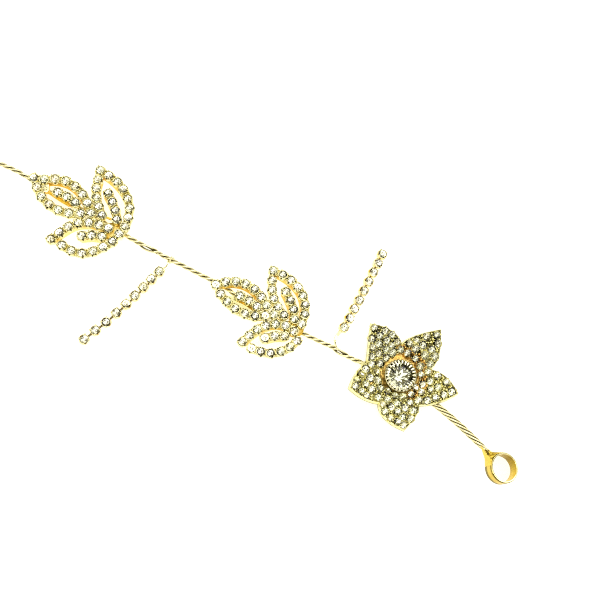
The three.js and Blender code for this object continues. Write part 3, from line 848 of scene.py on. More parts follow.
def spray(which):
    metal, stones = Form(), Form()
    for leaf in [r for r in LEAVES if r[0] == which]:
        height, up = leaf_height(leaf)
        _, name, tx, ty, bx, by, tz, bz = leaf
        outer_rows = [r for r in ROWS if r[0] == which and r[1] == name and r[2] != "spine"]
        middle = np.mean(np.concatenate([along(r[3:11], r[11])[0] for r in outer_rows]), axis=0)
        for row in [r for r in ROWS if r[0] == which and r[1] == name]:
            pts, turns = along(row[3:11], row[11])
            line = [tuple(p) for p in pts]
            start = tuple(pts[0] + unit(pts[0] - pts[1]) * 1.05)
            finish = tuple(pts[-1] + unit(pts[-1] - pts[-2]) * 0.9)
            strip(metal, [start] + line + [finish], height, up, None if row[2] == "spine" else middle,
                  FLARE_TO[which], WALL_WARMTH[name], lot=float(rng.uniform(0, 0.4)))
            for (x, y), a in zip(pts, turns):
                jitter = rng.normal(0, 0.03, 2)
                here = place_at((x + jitter[0], y + jitter[1], height(x, y)), up, a + rng.normal(0, 0.05))
                here = leaned(here, rng.uniform(0, 6.28), math.radians(rng.uniform(0, 3.0)))
                cup = ROW_CUPS[int(rng.integers(len(ROW_CUPS)))]
                metal.stamp(cup, here, lot=float(rng.uniform(0, 1)))
                set_stone(stones, ROW_STONES, here)
    leaf = [r for r in LEAVES if r[0] == which][0]
    height, up = leaf_height(leaf)
    for _, x, y in [r for r in FILL_STONES if r[0] == which]:
        here = place_at((x, y, height(x, y)), up)
        metal.stamp(ROW_CUPS[0], here, lot=0.5)
        set_stone(stones, ROW_STONES, here)
    bx, by, bz = leaf[4], leaf[5], leaf[7]
    # pad where the leaves meet, in the bars' gold with high tone all over: painted orange reflection
    metal.add(lathe([(0, -0.2), (2.1, -0.2), (2.4, -0.1), (2.5, 0.0), (2.35, 0.12), (1.8, 0.26), (0.9, 0.34), (0, 0.36)], 36,
                    tone=[0.9, 0.9, 0.8, 0.9, 1.0, 0.9, 0.7, 1.0]), place_at((bx - 1.9, by, bz)), mat=1)
    for where, low, high, half, *corners in RIBS:
        if where == which:
            path, _ = catmull([(corners[i], corners[i + 1], (low + high) / 2) for i in range(0, len(corners), 2)], 0.3)
            t, n, b = side_frames(path)
            rings = [[p + n[i] * a + b[i] * c for a, c in rounded_box_section(half, (high - low) / 2, 0.15, 2)]
                     for i, p in enumerate(path)]
            # the ribs are in the bars' gold at full tone: painted orange reflection
            metal.add(rings_to_shell(rings, 1.0), mat=1, lot=0.2)
    for where, first, last, half, z, shade in WEBS:
        if where == which:
            a, b = (along(next(r for r in ROWS if r[:3] == key)[3:11], 25)[0] for key in (first, last))
            rings = [[(q[0], q[1], z), (p[0], p[1], z), (p[0], p[1], z - half), (q[0], q[1], z - half)] for p, q in zip(a, b)]
            metal.add(rings_to_shell(rings, shade), lot=0.6)
    for where, x, y, turn, half_x, half_y, low, high in TIP_FILLS:
        if where == which:
            rings = [[(a * k, c * k, z) for a, c in rounded_box_section(half_x, half_y, min(half_x, half_y) * 0.6, 4)]
                     for k, z in ((1.07, low), (1.10, low + 0.1), (1.0, high - 0.25), (0.94, high - 0.05), (0.80, high))]
            # the fill is in the bars' gold, orange at its foot and clear on top: painted orange reflection
            metal.add(rings_to_shell(rings, np.repeat([1.0, 1.0, 0.9, 0.25, 0.0], len(rings[0]))),
                      place_at((x, y, 0.0), turn=math.radians(turn)), mat=1, lot=0.0)
            for k in range(5):
                q = place_at((x, y, high), turn=math.radians(turn + 72 * k + 20))
                bead = lathe([(0, -0.1), (0.2, -0.1), (0.17, 0.04), (0, 0.09)], 8, tone=[1.0, 1.0, 1.0, 0.6])
                metal.add((bead[0] + np.array([half_x * (0.35 + 0.06 * k), 0, 0]), *bead[1:]), q, lot=0.0)
    return metal, stones


sprays = {}
for which in ("1", "2"):
    metal, stones = spray(which)
    sprays[which] = (metal.object("spray_%s_gold" % which, [CUPS, BARS]),
                     stones.object("spray_%s_stones" % which, GEM, flat=(0, 1)))


# ------------------------------------------------------------------ side chains
CHAIN_LEAN = {
    # lean of each cup about the chain's line, degrees, from the free end to the stem
    "1": (3, -4, 4, -3, -5, -10, -13, -13, -8),
    "2": (-8, -12, -9, -12, -10, -14, -10, -12, -6),
}
LINK_WIRES = {
    "1": [(-16.35, -4.6, 0.62), (-15.75, -3.6, 0.75), (-15.7, -2.6, 0.95)],
    "2": [(32.35, 6.9, 0.62), (32.1, 5.6, 0.60), (31.95, 4.4, 0.72), (32.25, 3.1, 0.98)],
}


def link_coil(form, x, y, z, axis, radius, wire_r, turns, length, start):
    """Close coil of link wire round the stem."""
    n = int(turns * 28)
    a = np.linspace(0, turns * 2 * math.pi, n) + start
    t = unit(np.array([axis[0], axis[1], 0.0]))
    side = np.array([-t[1], t[0], 0.0])
    up = np.array([0, 0, 1.0])
    u = np.linspace(-0.5, 0.5, n)
    path = np.array([x, y, z]) + np.outer(u * length, t) + np.outer(np.cos(a) * radius, side) + np.outer(np.sin(a) * radius, up)
    path[:, 2] = np.maximum(path[:, 2], wire_r + 0.01)
    form.add(tube(path, wire_r, 10, tone=0.1))


def chain(row):
    which = row[0]
    metal, stones = Form(), Form()
    pts, turns = along(row[1:9], row[9], row[10])
    for i, ((x, y), a) in enumerate(zip(pts, turns)):
        lean = math.radians(CHAIN_LEAN[which][i])
        here = place_at((x, y, 1.33 * abs(math.sin(lean))), (0, 0, 1), a + rng.normal(0, 0.06))
        here = leaned(here, 0.0, lean)
        here = leaned(here, math.pi / 2, math.radians(rng.normal(0, 2.0)))
        metal.stamp(CHAIN_CUPS[int(rng.integers(len(CHAIN_CUPS)))], here, lot=float(rng.uniform(0, 1)))
        set_stone(stones, SMALL_STONES, here)
        if i:
            # flat link between two cups, necked in the middle, painted dark all over: painted shade
            q = pts[i - 1]
            d = np.array([x, y]) - q
            length = np.linalg.norm(d)
            d = d / length
            rings = []
            for u, w in ((0.18, 0.34), (0.36, 0.30), (0.5, 0.22), (0.64, 0.30), (0.82, 0.34)):
                c = np.array([*(q + d * length * u), 0.62])
                n3 = np.array([-d[1], d[0], 0.0])
                rings.append([c + n3 * p[0] + np.array([0, 0, p[1]]) for p in rounded_box_section(w, 0.24, 0.12, 2)])
            metal.add(rings_to_shell(rings, 1.0), lot=0.9)
    path, _ = catmull(LINK_WIRES[which], 0.2)
    t, n, b = side_frames(path)
    rings = []
    for i, p in enumerate(path):
        rings.append([p + n[i] * a + b[i] * c for a, c in rounded_box_section(0.40, 0.13, 0.11, 3)])
    metal.add(rings_to_shell(rings, 0.0))
    return metal, stones


chains = {}
for row in CHAINS:
    metal, stones = chain(row)
    if row[0] == "1":
        link_coil(metal, -15.8, -1.2, 0.95, (1, 0.06), 0.84, 0.24, 1.7, 1.0, math.pi)
    else:
        hook, _ = catmull([(32.2, 3.3, 0.98), (32.5, 2.75, 1.15), (32.85, 2.25, 1.42), (33.3, 1.85, 1.30), (33.75, 1.5, 0.85),
                           (33.95, 1.35, 0.45)], 0.12)
        metal.add(tube(hook, 0.25, 12, tone=0.35))
    chains[row[0]] = (metal.object("chain_%s_gold" % row[0], [CHAIN_GOLD, CHAIN_SIDE if row[0] == "1" else BARS]),
                      stones.object("chain_%s_stones" % row[0], GEM, flat=(0, 1)))


# ------------------------------------------------------------------ flower
def quad_through(a, mid, b, n):
    a, mid, b = (np.asarray(p, float) for p in (a, mid, b))
    c = 2 * mid - (a + b) / 2
    u = (np.arange(n) / n)[:, None]
    return (1 - u) ** 2 * a + 2 * (1 - u) * u * c + u ** 2 * b


def petal_outline(n=14):
    """The flower's outline, anticlockwise."""
    out = []
    for i, row in enumerate(PETALS):
        _, ax, ay, tx, ty, bx, by, nx, ny, _ = row
        prev = PETALS[i - 1]
        out.append(quad_through(prev[7:9], (ax, ay), (tx, ty), n))
        out.append(quad_through((tx, ty), (bx, by), (nx, ny), n))
    return np.concatenate(out)[::-1]


def inset(poly, d):
    """Moves each point of an anticlockwise outline inwards by d."""
    e = np.roll(poly, -1, 0) - poly
    e = unit(e)
    n = np.stack([-e[:, 1], e[:, 0]], 1)
    m = unit(n + np.roll(n, 1, 0))
    k = np.maximum(0.45, np.sum(m * n, 1))
    return poly + m * (d / k)[:, None]


def skin_loops(loops, heights, tones, bottom, top_hole=None):
    """Skins outline loops one above the other; the bottom and the top are left open."""
    verts, tone, faces = [], [], []
    n = len(loops[0])
    for loop, z, t in zip(loops, heights, tones):
        verts += [(p[0], p[1], z) for p in loop]
        tone += [t] * n
    for r in range(len(loops) - 1):
        for i in range(n):
            j = (i + 1) % n
            faces.append((r * n + i, r * n + j, (r + 1) * n + j, (r + 1) * n + i))
    return verts, tone, faces


outline = petal_outline()
N_OUT = len(outline)
flower, flower_stones = Form(), Form()
HOLE_SIDES = 56
hole = np.array([(DISC_C[0] + DISC_R * math.cos(2 * math.pi * k / HOLE_SIDES),
                  DISC_C[1] + DISC_R * math.sin(2 * math.pi * k / HOLE_SIDES)) for k in range(HOLE_SIDES)])
PLATE_TOP = 2.5
# the rim is painted: dark at its foot, clear on its top, and the ground between the stones in full painted shade
loops = [inset(outline, 0.0), inset(outline, -0.22), inset(outline, -0.25), inset(outline, -0.18), inset(outline, -0.16), inset(outline, 0.0), inset(outline, 0.06),
         inset(outline, 0.16), inset(outline, 0.26), inset(outline, 0.32)]
heights = [2.2, 2.25, 2.40, 2.72, 2.80, 3.50, 3.66, 3.72, 3.62, PLATE_TOP]
tones = [1.0, 1.0, 0.85, 0.75, 0.2, 0.1, 0.1, 0.0, 0.4, 1.0]
verts, tone, faces = skin_loops(loops, heights, tones, True)
# hole wall: from the plate's top down to the recess floor, and the floor itself; painted darker down into the recess
centre = np.array(DISC_C)
rows = []
for dr, z, t in [(0.30, PLATE_TOP, 1.0), (0.26, 3.20, 0.3), (0.18, 3.38, 0.0), (0.05, 3.38, 0.05),
                 (-0.03, 3.20, 0.3), (-0.06, 2.92, 0.6), (-0.14, 2.82, 0.8)]:
    rows.append(len(verts))
    for p in hole:
        q = centre + (p - centre) * (DISC_R + dr) / DISC_R
        verts.append((q[0], q[1], z))
        tone.append(t)
for a, b in zip(rows, rows[1:]):
    for i in range(HOLE_SIDES):
        j = (i + 1) % HOLE_SIDES
        faces.append((a + i, a + j, b + j, b + i))
# recess floor, slightly dished, with one middle point, painted in shade
rim_row = rows[-1]
floor_rows = [rim_row]
for r in (4.4, 3.0, 1.5):
    floor_rows.append(len(verts))
    for k in range(HOLE_SIDES):
        a = 2 * math.pi * k / HOLE_SIDES
        verts.append((centre[0] + r * math.cos(a), centre[1] + r * math.sin(a), 2.80 - 0.01 * (5.4 - r)))
        tone.append(0.7 if r > 4 else 1.0)
GROUND = [
    # bearing from the disc's middle (degrees), how dark the painted shade on the ground between the stones is
    (-134, 0.56), (-56, 0.24), (13, 0.38), (77, 1.0), (149, 0.9), (226, 0.56),
]
for i in [*range((len(loops) - 1) * N_OUT, len(loops) * N_OUT), *range(rows[0], rows[0] + HOLE_SIDES)]:
    bearing = (math.degrees(math.atan2(verts[i][1] - centre[1], verts[i][0] - centre[0])) + 134) % 360 - 134
    tone[i] *= float(np.interp(bearing, [q[0] for q in GROUND], [q[1] for q in GROUND]))
mid = len(verts)
verts.append((centre[0], centre[1], 2.76)); tone.append(0.6)
for a, b in zip(floor_rows, floor_rows[1:]):
    for i in range(HOLE_SIDES):
        j = (i + 1) % HOLE_SIDES
        faces.append((a + i, a + j, b + j, b + i))
for i in range(HOLE_SIDES):
    faces.append((floor_rows[-1] + i, floor_rows[-1] + (i + 1) % HOLE_SIDES, mid))
# top face between the rim's inner edge and the hole, and the flat back
top_loop = [(p[0], p[1], 0.0) for p in loops[-1]]
hole_loop = [(centre[0] + (p[0] - centre[0]) * (DISC_R + 0.30) / DISC_R,
              centre[1] + (p[1] - centre[1]) * (DISC_R + 0.30) / DISC_R, 0.0) for p in hole]
top_base = (len(loops) - 1) * N_OUT
for tri in tessellate_polygon([top_loop, hole_loop]):
    ids = [(top_base + i) if i < N_OUT else (rows[0] + i - N_OUT) for i in tri]
    p = [verts[i] for i in ids]
    area = (p[1][0] - p[0][0]) * (p[2][1] - p[0][1]) - (p[2][0] - p[0][0]) * (p[1][1] - p[0][1])
    faces.append(tuple(ids if area > 0 else ids[::-1]))
for tri in tessellate_polygon([[(p[0], p[1], 0.0) for p in loops[0]]]):
    p = [verts[i] for i in tri]
    area = (p[1][0] - p[0][0]) * (p[2][1] - p[0][1]) - (p[2][0] - p[0][0]) * (p[1][1] - p[0][1])
    faces.append(tuple(tri if area < 0 else tri[::-1]))
flower.add((np.array(verts), faces, np.array(tone)))


def clear_of(poly, pts):
    """Signed distances of points inside an outline (negative outside)."""
    pts = np.atleast_2d(pts)
    a, b = poly[None], np.roll(poly, -1, 0)[None]
    ab, ap = b - a, pts[:, None] - a
    t = np.clip(np.sum(ab * ap, 2) / np.sum(ab * ab, 2), 0, 1)
    d = np.min(np.linalg.norm(ap - ab * t[:, :, None], axis=2), axis=1)
    x, y = pts[:, None, 0], pts[:, None, 1]
    spans = (a[..., 1] > y) != (b[..., 1] > y)
    rise = np.where(np.abs(b[..., 1] - a[..., 1]) < 1e-9, 1e-9, b[..., 1] - a[..., 1])
    left = x < (b[..., 0] - a[..., 0]) * (y - a[..., 1]) / rise + a[..., 0]
    inside = np.sum(spans & left, axis=1) % 2 == 1
    return np.where(inside, d, -d)


# petals whose cups are painted lighter, as lit
PALE_PETALS = ("B", "R", "L")
PAVE_STEP = 2.36        # middle to middle of neighbouring stones
PAVE_EDGE = 1.10        # from a stone's middle to the outline
PAVE_DISC = 0.72        # from a stone's middle to the disc's edge
PAVE_OVER = (25, 0.75)  # they crowd over the edge on the side of this bearing (degrees), by so much


def disc_gap(pts):
    """Distance of points from the edge of the open part of the disc."""
    x, y = pts[..., 0] - centre[0], pts[..., 1] - centre[1]
    return np.hypot(x, y) - DISC_R + PAVE_OVER[1] * np.clip(np.cos(np.arctan2(y, x) - math.radians(PAVE_OVER[0])), 0, 1)


def pave(tips):
    """Spreads stones evenly over the petals: each moves to the middle of the patch of
    ground that lies nearest to it, until they all stand the same way apart."""
    gx, gy = np.meshgrid(np.arange(35.0, 71.0, 0.2), np.arange(-11.5, 23.5, 0.2))
    grid = np.stack([gx.ravel(), gy.ravel()], 1)
    edge = clear_of(outline, grid)
    disc = disc_gap(grid)
    ground = grid[(edge > 0.02) & (disc > -0.05)]
    seat = grid[(edge > PAVE_EDGE) & (disc > PAVE_DISC)]
    fixed = np.array([seat[np.argmin(np.linalg.norm(seat - tip, axis=1))] for tip in tips])
    count = int(len(ground) * 0.04 / (0.866 * PAVE_STEP ** 2))
    pick = np.random.default_rng(5)
    pts = np.concatenate([fixed, seat[pick.choice(len(seat), count - len(fixed), replace=False)]])
    for step in range(60):
        d = np.linalg.norm(ground[:, None] - pts[None], axis=2)
        own = np.argmin(d, axis=1)
        for i in range(len(fixed), len(pts)):
            mine = ground[own == i]
            goal = mine.mean(axis=0) if len(mine) else seat[pick.integers(len(seat))]
            pts[i] = seat[np.argmin(np.linalg.norm(seat - goal, axis=1))] if step < 50 else goal
    for _ in range(30):
        for i in range(len(fixed), len(pts)):
            d = pts[i] - pts
            r = np.linalg.norm(d, axis=1)
            close = (r > 1e-6) & (r < PAVE_STEP)
            new = pts[i] + np.sum(d[close] / r[close][:, None] * (PAVE_STEP - r[close])[:, None], axis=0) * 0.3
            if clear_of(outline, new)[0] > PAVE_EDGE - 0.1 and disc_gap(new) > PAVE_DISC - 0.3:
                pts[i] = new
    return pts


TIPS = [np.array(row[3:5]) for row in PETALS]
seats = []
for p in pave(TIPS):
    bearing = [math.atan2(*(q - centre)[::-1]) for q in TIPS]
    mine = math.atan2(*(p - centre)[::-1])
    k = int(np.argmin([abs((a - mine + math.pi) % (2 * math.pi) - math.pi) for a in bearing]))
    seats.append((p, TIPS[k], PETALS[k][9], PETALS[k][0]))
for p, tip, lean, petal in seats:
    out = tip - centre
    here = place_at((p[0], p[1], PLATE_TOP - 0.02), (0, 0, 1), math.atan2(out[1], out[0]))
    here = leaned(here, math.pi / 2, math.radians(-lean))
    here = leaned(here, rng.uniform(0, 6.28), math.radians(rng.uniform(0, 3)))
    here = (here[0] * rng.uniform(0.90, 1.06), here[1] + np.array([*rng.normal(0, 0.10, 2), 0.0]))
    # cups next to the disc, on the side away from the stem, take the disc's gold all over
    off = p - centre
    warm = np.linalg.norm(off) < DISC_R + 1.7 and -40 < math.degrees(math.atan2(off[1], off[0])) < 125
    cups = WARM_CUPS if warm else PALE_CUPS if petal in PALE_PETALS else PAVE_CUPS
    flower.stamp(cups[int(rng.integers(len(cups)))], turned(here, rng.normal(0, 0.4)), lot=float(rng.uniform(0, 1)))
    set_stone(flower_stones, PAVE_STONES, here, tilt=15.0, in_shade=petal in ("TL", "TR"))

def warm_share(p):
    """How many of the grains at a place take the disc's gold."""
    x, y = p - centre
    return 0.75 if -65 < math.degrees(math.atan2(y, x)) < 115 and math.hypot(x, y) < DISC_R + 3.0 else 0.04


# grains of metal raised between the stones, painted darker at their foot: painted shade
spots = np.array([p for p, _, _, _ in seats])
gx, gy = np.meshgrid(np.arange(35.0, 71.0, 0.12), np.arange(-11.5, 23.5, 0.12))
grid = np.stack([gx.ravel(), gy.ravel()], 1)
room = np.minimum(np.min(np.linalg.norm(grid[:, None] - spots[None], axis=2), axis=1) - PAVE_R - 0.10,
                  np.minimum(clear_of(outline, grid) - 0.30, np.linalg.norm(grid - centre, axis=1) - DISC_R - 0.25))
for _ in range(150):
    i = int(np.argmax(room))
    size = min(0.42, room[i] + 0.06)
    if size < 0.19:
        break
    flower.add(lathe([(0, 0.0), (size, 0.0), (size, 0.9), (size * 0.86, 1.06), (size * 0.5, 1.2), (0, 1.26)], 10,
                     tone=[1.0, 1.0, 0.5, 0.15, 0.0, 0.0]),
               place_at((grid[i, 0], grid[i, 1], PLATE_TOP - 0.02), turn=rng.uniform(0, 1)),
               mat=1 if rng.uniform() < warm_share(grid[i]) else 0, lot=float(rng.uniform(0, 1)))
    room = np.minimum(room, np.linalg.norm(grid - grid[i], axis=1) - size - 0.02)

# hammered disc round the big cup
DISC_TONES = [
    # bearing from the disc's middle (degrees), how dark the painted shadow of the cup is there
    (30, 0.65), (76, 0.45), (110, 0.10), (165, 0.15), (210, 0.10), (228, 0.55), (250, 1.0), (300, 0.95), (340, 0.75), (390, 0.65),
]
verts, faces, _ = lathe([(2.9, 2.70), (5.40, 2.70), (5.40, 2.90), (5.1, 2.93), (4.85, 2.93), (4.6, 2.93), (4.35, 2.93), (4.0, 2.93),
                         (3.5, 2.93), (2.9, 2.93), (2.9, 2.70)], 120)
bearing = (np.degrees(np.arctan2(verts[:, 1], verts[:, 0])) - 30) % 360 + 30
tone = np.interp(bearing, [q[0] for q in DISC_TONES], [q[1] for q in DISC_TONES])
dent = np.sin(3.9 * verts[:, 0] + 1.0 + 1.3 * np.sin(2.1 * verts[:, 1])) * np.sin(4.3 * verts[:, 1] + 0.7 + 1.1 * np.sin(2.6 * verts[:, 0]))
upper = verts[:, 2] > 2.8
verts[upper, 2] += 0.075 * dent[upper]
# darker in the dents' hollows
tone = np.clip(tone + 0.45 * np.where(dent < -0.35, 1.0, 0.0), 0, 1)
flower.add((verts, faces, tone), place_at((centre[0], centre[1], 0.0)), mat=1)

# short tongue under the stem where it meets the flower, painted half in shade
tongue, _ = catmull([(41.1, 1.25, 1.42), (42.2, 1.75, 1.45), (43.6, 2.3, 1.8), (44.6, 2.6, 2.1)], 0.3)
t, n, b = side_frames(tongue)
rings = []
for i, p in enumerate(tongue):
    e = min(1.0, (i + 0.6) / 4)
    rings.append([p + n[i] * a * e + b[i] * c for a, c in rounded_box_section(0.95, 0.12, 0.1, 2)])
flower.add(rings_to_shell(rings, 0.5))
flower_obj = flower.object("flower_gold", [PLATE, DISC])
flower_stones_obj = flower_stones.object("flower_stones", [CRYSTAL, FOIL_PAVE, FOIL_IN_SHADE], flat=(0, 1, 2))

# ------------------------------------------------------------------ big cup and stone
cup = Form()
cup_place = place_at((CUP_C[0], CUP_C[1], 0.0))
# painted shade: the cup darker at its foot and dark all over its inside
cup.add(lathe([(0, 2.78), (2.3, 2.78), (2.7, 2.95), (2.95, 3.4), (3.45, 4.5), (4.05, 5.6), (4.22, 5.95), (4.2, 6.12), (4.05, 6.15),
               (3.85, 6.0), (3.68, 5.6), (1.8, 4.15), (0.15, 2.86), (0, 2.84)], 72,
              tone=[0.9, 0.9, 0.9, 0.8, 0.7, 0.6, 0.4, 0.5, 1.0, 1.0, 1.0, 1.0, 1.0, 1.0]), cup_place)
TEETH = 26
for k in range(TEETH):
    a = 2 * math.pi * (k + 0.25 + 0.12 * rng.uniform(-1, 1)) / TEETH
    reach = 3.08 + 0.10 * rng.uniform(-1, 1)
    verts, faces, tone = prong([(4.12, 5.7), (4.20, 5.98), (4.14, 6.22), (3.92, 6.36), (3.5, 6.43), (reach, 6.56)],
                               [0.56, 0.58, 0.60, 0.60, 0.52, 0.30], [0.26, 0.26, 0.28, 0.28, 0.24, 0.14], a)
    # the teeth are painted darker at their feet
    cup.add((verts, faces, np.clip(tone * 2.1, 0, 1)), cup_place, mat=1, lot=float(rng.uniform(0, 1)))
cup_obj = cup.object("cup_gold", [CUPS, TOOTH_GOLD])

big = Form()
shell, mats = brilliant(3.58, 0.60, 1.10, 0.14, 2.78, at=5.82)
big.add(shell, turned(leaned(cup_place, 1.1, math.radians(1.2)), math.radians(9)), mat=mats, lot=0.65)
big_obj = big.object("cup_stone", GEM, flat=(0, 1))


# ------------------------------------------------------------------ ring loops
def loop(flip):
    form = Form()
    h = RING_H / 2
    ri, ro, c = RING_IN, RING_R, 0.11
    profile = [(ri + c, -h), (ro - c, -h), (ro - 0.03, -h + 0.04), (ro, -h + c), (ro + 0.02, -h + 0.9), (ro + 0.04, -h + 1.3),
               (ro + 0.03, h * 0.5), (ro + 0.01, h - 0.26), (ro - 0.13, h - 0.12), (ro - 0.17, h), (ri + 0.07, h), (ri + 0.02, h - 0.03),
               (ri, h - c), (ri - 0.02, 0.0), (ri, -h + c), (ri + 0.03, -h + 0.04), (ri + c, -h)]
    # painted shade: dark at the foot by the floor and in a line along the bevel under the rim's outer edge, clear on
    # the rim
    band = lathe(profile, 112, tone=[0.5, 0.8, 1.0, 1.0, 0.9, 0.35, 0.35, 1.0, 1.0, 0.0, 0.0, 0.0, 0.3, 0.2, 0.2, 0.4])
    radii = np.linalg.norm(band[0][:, :2], axis=1)
    # painted shade and dark reflection on the inside wall, by bearing, strongest near 80 degrees
    bearing = (np.degrees(np.arctan2(band[0][:, 1], band[0][:, 0])) + 90) % 360 - 90
    painted_shade = np.interp(bearing, [-90, -20, 10, 40, 80, 140, 270], [0.1, 0.15, 0.45, 0.75, 0.95, 0.7, 0.1])
    inside = (radii < ri + 0.04) & (band[0][:, 2] < h - 0.05)
    band = (band[0], band[1], np.where(inside, np.maximum(band[2], painted_shade), band[2]))
    level = band[0][:, 2]
    # the flat top takes the pale cup gold: painted highlight
    form.add(band, mat=[1 if np.max(radii[list(f)]) < ri + 0.05 else 2 if np.min(level[list(f)]) > h - 0.04 else 0 for f in band[1]])

    def strap(points, half, low_top, rise, lot, taper):
        pts, s = catmull([(x, y, 0.0) for x, y in points], 0.16)
        t, n, b = side_frames(pts)
        rings = []
        for i, p in enumerate(pts):
            top = low_top + (h - 0.03 - low_top) * smooth01(p[0], rise[0], rise[1])
            bottom = -h + 0.02 + taper * (1 - smooth01(s[i], 0.0, 2.6))
            e = min(1.0, 0.25 + s[i] / 1.6)
            sec = rounded_box_section(half * e, (top - bottom) / 2, min(0.16, half * e * 0.8), 3)
            mid_z = (top + bottom) / 2
            rings.append([p + n[i] * a + np.array([0, 0, mid_z + z]) for a, z in sec])
        form.add(rings_to_shell(rings, 0.0), lot=lot)

    low_strap = [(-7.6, 2.10), (-6.8, 1.84), (-5.95, 1.50), (-5.28, 1.12), (-4.72, 0.60), (-4.28, 0.02), (-3.98, -0.62),
                 (-3.68, -1.20), (-3.30, -1.72), (-2.85, -2.42), (-2.2, -3.02)]
    high_strap = [(-5.6, 2.22), (-4.9, 2.12), (-4.35, 2.10), (-3.75, 2.26), (-3.1, 2.58), (-2.4, 2.98), (-1.6, 3.40),
                  (-0.8, 3.67)]
    LOW_RISE, HIGH_RISE, HIGH_TOP = (-5.5, -4.05), (-5.0, -2.9), 0.35
    strap(low_strap, 0.215, 0.0, LOW_RISE, 0.2, 1.15)
    strap(high_strap, 0.20, HIGH_TOP, HIGH_RISE, 0.5, 1.2)
    # bead at the wire's end, painted fully dark: painted shadow of the slit between the wire and the strap
    bead, _ = catmull([(-6.05, 1.90, 0.0), (-5.6, 1.76, 0.10), (-5.2, 1.50, 0.14), (-4.9, 1.15, 0.16)], 0.15)
    form.add(tube(bead, 0.19, 10, tone=1.0), lot=0.3)
    # web of solder between the straps
    lo, _ = catmull([(-5.3, 1.20, 0), (-4.75, 0.65, 0), (-4.3, 0.05, 0), (-4.0, -0.55, 0)], 0.1)
    hi, _ = catmull([(-5.2, 2.16, 0), (-4.7, 2.10, 0), (-4.1, 2.16, 0), (-3.3, 2.48, 0)], 0.1)
    nu, nv = 24, 18
    top, bot = [], []
    for i in range(nu):
        u = i / (nu - 1)
        pl = lo[int(round(u * (len(lo) - 1)))][:2]
        ph = hi[int(round(u * (len(hi) - 1)))][:2]
        z_lo = (h - 0.03) * smooth01(pl[0], *LOW_RISE) - 0.10
        z_hi = HIGH_TOP + (h - 0.03 - HIGH_TOP) * smooth01(ph[0], *HIGH_RISE) - 0.08
        rt, rb = [], []
        for j in range(nv):
            v = j / (nv - 1)
            p = pl * (1 - v) + ph * v
            ang = math.radians(187 - 44 * v)
            arc = 3.85 * np.array([math.cos(ang), math.sin(ang)])
            end_line = lo[-1][:2] * (1 - v) + hi[-1][:2] * v
            p = p + (u ** 2) * (arc - end_line)
            z = z_lo * (1 - v) + z_hi * v
            z -= (0.42 * math.sin(math.pi * v) + 0.16 * math.exp(-((v - 0.55) / 0.10) ** 2)) * math.sin(math.pi * min(1, u * 0.9 + 0.1))
            rt.append((p[0], p[1], z))
            rb.append((p[0], p[1], -h + 0.1))
        top.append(rt)
        bot.append(rb)
    verts = [q for r in top for q in r] + [q for r in bot for q in r]
    off = nu * nv
    faces = []
    for i in range(nu - 1):
        for j in range(nv - 1):
            a, b_, c_, d = i * nv + j, (i + 1) * nv + j, (i + 1) * nv + j + 1, i * nv + j + 1
            faces.append((a, b_, c_, d))
            faces.append((off + d, off + c_, off + b_, off + a))
    for i in range(nu - 1):
        a, b_ = i * nv, (i + 1) * nv
        faces.append((off + a, off + b_, b_, a))
        a, b_ = i * nv + nv - 1, (i + 1) * nv + nv - 1
        faces.append((a, b_, off + b_, off + a))
    for j in range(nv - 1):
        faces.append((j, j + 1, off + j + 1, off + j))
        a = (nu - 1) * nv + j
        faces.append((off + a, off + a + 1, a + 1, a))
    # painted shade: dark along the crease by the low strap and in a line down the web's middle
    tone = [min(1.0, 1.2 * (1 - v_ / (nv - 1)) ** 6 + 0.4 * math.exp(-((v_ / (nv - 1) - 0.55) / 0.08) ** 2))
            for _ in range(nu) for v_ in range(nv)] + [0.5] * off
    form.add((np.array(verts), faces, np.array(tone)), mat=1, lot=0.1)
    if flip:
        rot = np.diag([-1.0, -1.0, 1.0])
        at = np.array([RING_LEFT_C[0], RING_LEFT_C[1], RING_H / 2])
    else:
        ax = unit((RING_LEAN[0], RING_LEAN[1], 1.0))
        v = np.cross((0, 0, 1.0), ax)
        c_, s2 = ax[2], np.dot(v, v)
        k = np.array([[0, -v[2], v[1]], [v[2], 0, -v[0]], [-v[1], v[0], 0]])
        rot = np.eye(3) + k + k @ k * ((1 - c_) / s2)
        at = np.array([RING_RIGHT_C[0], RING_RIGHT_C[1], h * ax[2] + RING_R * math.hypot(ax[0], ax[1])])
    whole = Form()
    whole.stamp(form, (rot, at))
    return whole


loop_right = loop(False).object("ring_right_gold", [RING, BORE, CUPS])
loop_left = loop(True).object("ring_left_gold", [RING, BORE, CUPS])

# ------------------------------------------------------------------ what stands for what
PIECES = [
    # piece, CAD node that it stands for (or none), material slot
    (stem_obj, "stem_main", "wire_gold"),
    (end_obj, "stem_end", "wire_gold"),
    (sprays["1"][0], "leaf_spray_1", "cup_gold"),
    (sprays["1"][1], None, "crystal"),
    (sprays["2"][0], "leaf_spray_2", "cup_gold"),
    (sprays["2"][1], None, "crystal"),
    (chains["1"][0], "side_chain_1", "cup_gold"),
    (chains["1"][1], None, "crystal"),
    (chains["2"][0], "side_chain_2", "cup_gold"),
    (chains["2"][1], None, "crystal"),
    (flower_obj, "flower_plate", "cup_gold"),
    (flower_stones_obj, None, "crystal"),
    (cup_obj, "center_cup", "cup_gold"),
    (big_obj, "center_stone", "crystal"),
    (loop_right, "loop_right", "ring_gold"),
    (loop_left, "loop_left", "ring_gold"),
]
for obj, stands_for, slot in PIECES:
    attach(obj, "root")
    if stands_for:
        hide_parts(stands_for)


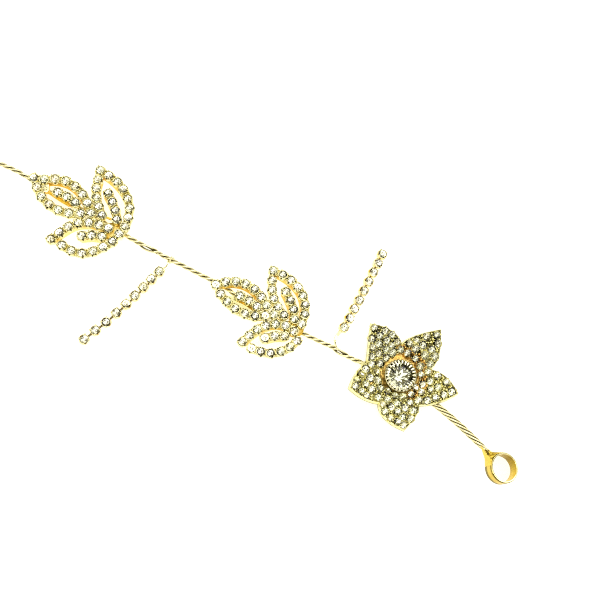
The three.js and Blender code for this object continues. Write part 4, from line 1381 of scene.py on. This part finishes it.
# ------------------------------------------------------------------ floor and light
floor_mesh = bpy.data.meshes.new("floor")
S = 3.0
floor_mesh.from_pydata([(-S, -S, 0), (S, -S, 0), (S, S, 0), (-S, S, 0)], [], [(0, 1, 2, 3)])
floor = bpy.data.objects.new("floor", floor_mesh)
bpy.context.scene.collection.objects.link(floor)
fmat, ftree, fbsdf = nodes_of("paper")
fcoords = node(ftree, "ShaderNodeTexCoord").outputs["Object"]
fcol = mix(ftree, remap(ftree, noise(ftree, fcoords, 90.0, 4.0, 0.6), 0.0, 1.0, 0.3, 0.7), (0.70, 0.70, 0.70), (0.72, 0.72, 0.72))
ftree.links.new(fcol, fbsdf.inputs["Base Color"])
fbsdf.inputs["Roughness"].default_value = 0.9
fbsdf.inputs["Specular IOR Level"].default_value = 0.1
fbsdf.inputs["Emission Color"].default_value = (0.78, 0.75, 0.60, 1.0)
fbsdf.inputs["Emission Strength"].default_value = 1.0
floor_mesh.materials.append(fmat)


def softbox(name, at, aim, width, height, radiance, tint=(1.0, 1.0, 1.0)):
    data = bpy.data.lights.new(name, "AREA")
    data.shape = "RECTANGLE"
    data.size = width
    data.size_y = height
    data.energy = radiance * math.pi * width * height
    data.color = tint
    obj = bpy.data.objects.new(name, data)
    bpy.context.scene.collection.objects.link(obj)
    z = -unit(np.asarray(aim, float) - np.asarray(at, float))
    x = unit(np.cross((0.0, 1.0, 0.0) if abs(z[1]) < 0.95 else (1.0, 0.0, 0.0), z))
    y = np.cross(z, x)
    obj.matrix_world = Matrix(((x[0], y[0], z[0], at[0]), (x[1], y[1], z[1], at[1]), (x[2], y[2], z[2], at[2]), (0, 0, 0, 1)))
    return obj


softbox("back", (0.10, 0.53, 0.54), (0.0, 0.0, 0.0), 0.95, 0.40, 2.4)
softbox("front", (0.0, -0.50, 0.50), (0.0, 0.0, 0.0), 1.20, 0.50, 1.5)
softbox("top", (0.0, -0.10, 0.66), (0.0, 0.0, 0.0), 0.26, 0.26, 3.4)
softbox("middle", (0.0, 0.17, 0.64), (0.0, 0.17, 0.0), 0.74, 0.22, 1.3)
softbox("left", (-0.60, 0.0, 0.40), (-0.02, 0.0, 0.0), 0.50, 0.40, 1.2)
softbox("right", (0.60, 0.0, 0.40), (0.02, 0.0, 0.0), 0.50, 0.40, 1.2)

world = bpy.data.worlds.new("studio")
bpy.context.scene.world = world
world.use_nodes = True
bg = world.node_tree.nodes["Background"]
bg.inputs["Color"].default_value = (1.0, 0.88, 0.42, 1.0)
bg.inputs["Strength"].default_value = 0.20

scene = bpy.context.scene
scene.view_settings.view_transform = "Standard"
scene.view_settings.look = "None"
scene.view_settings.exposure = 0.0
scene.view_settings.gamma = 1.0
scene.cycles.filter_width = 1.1
scene.cycles.use_denoising = False
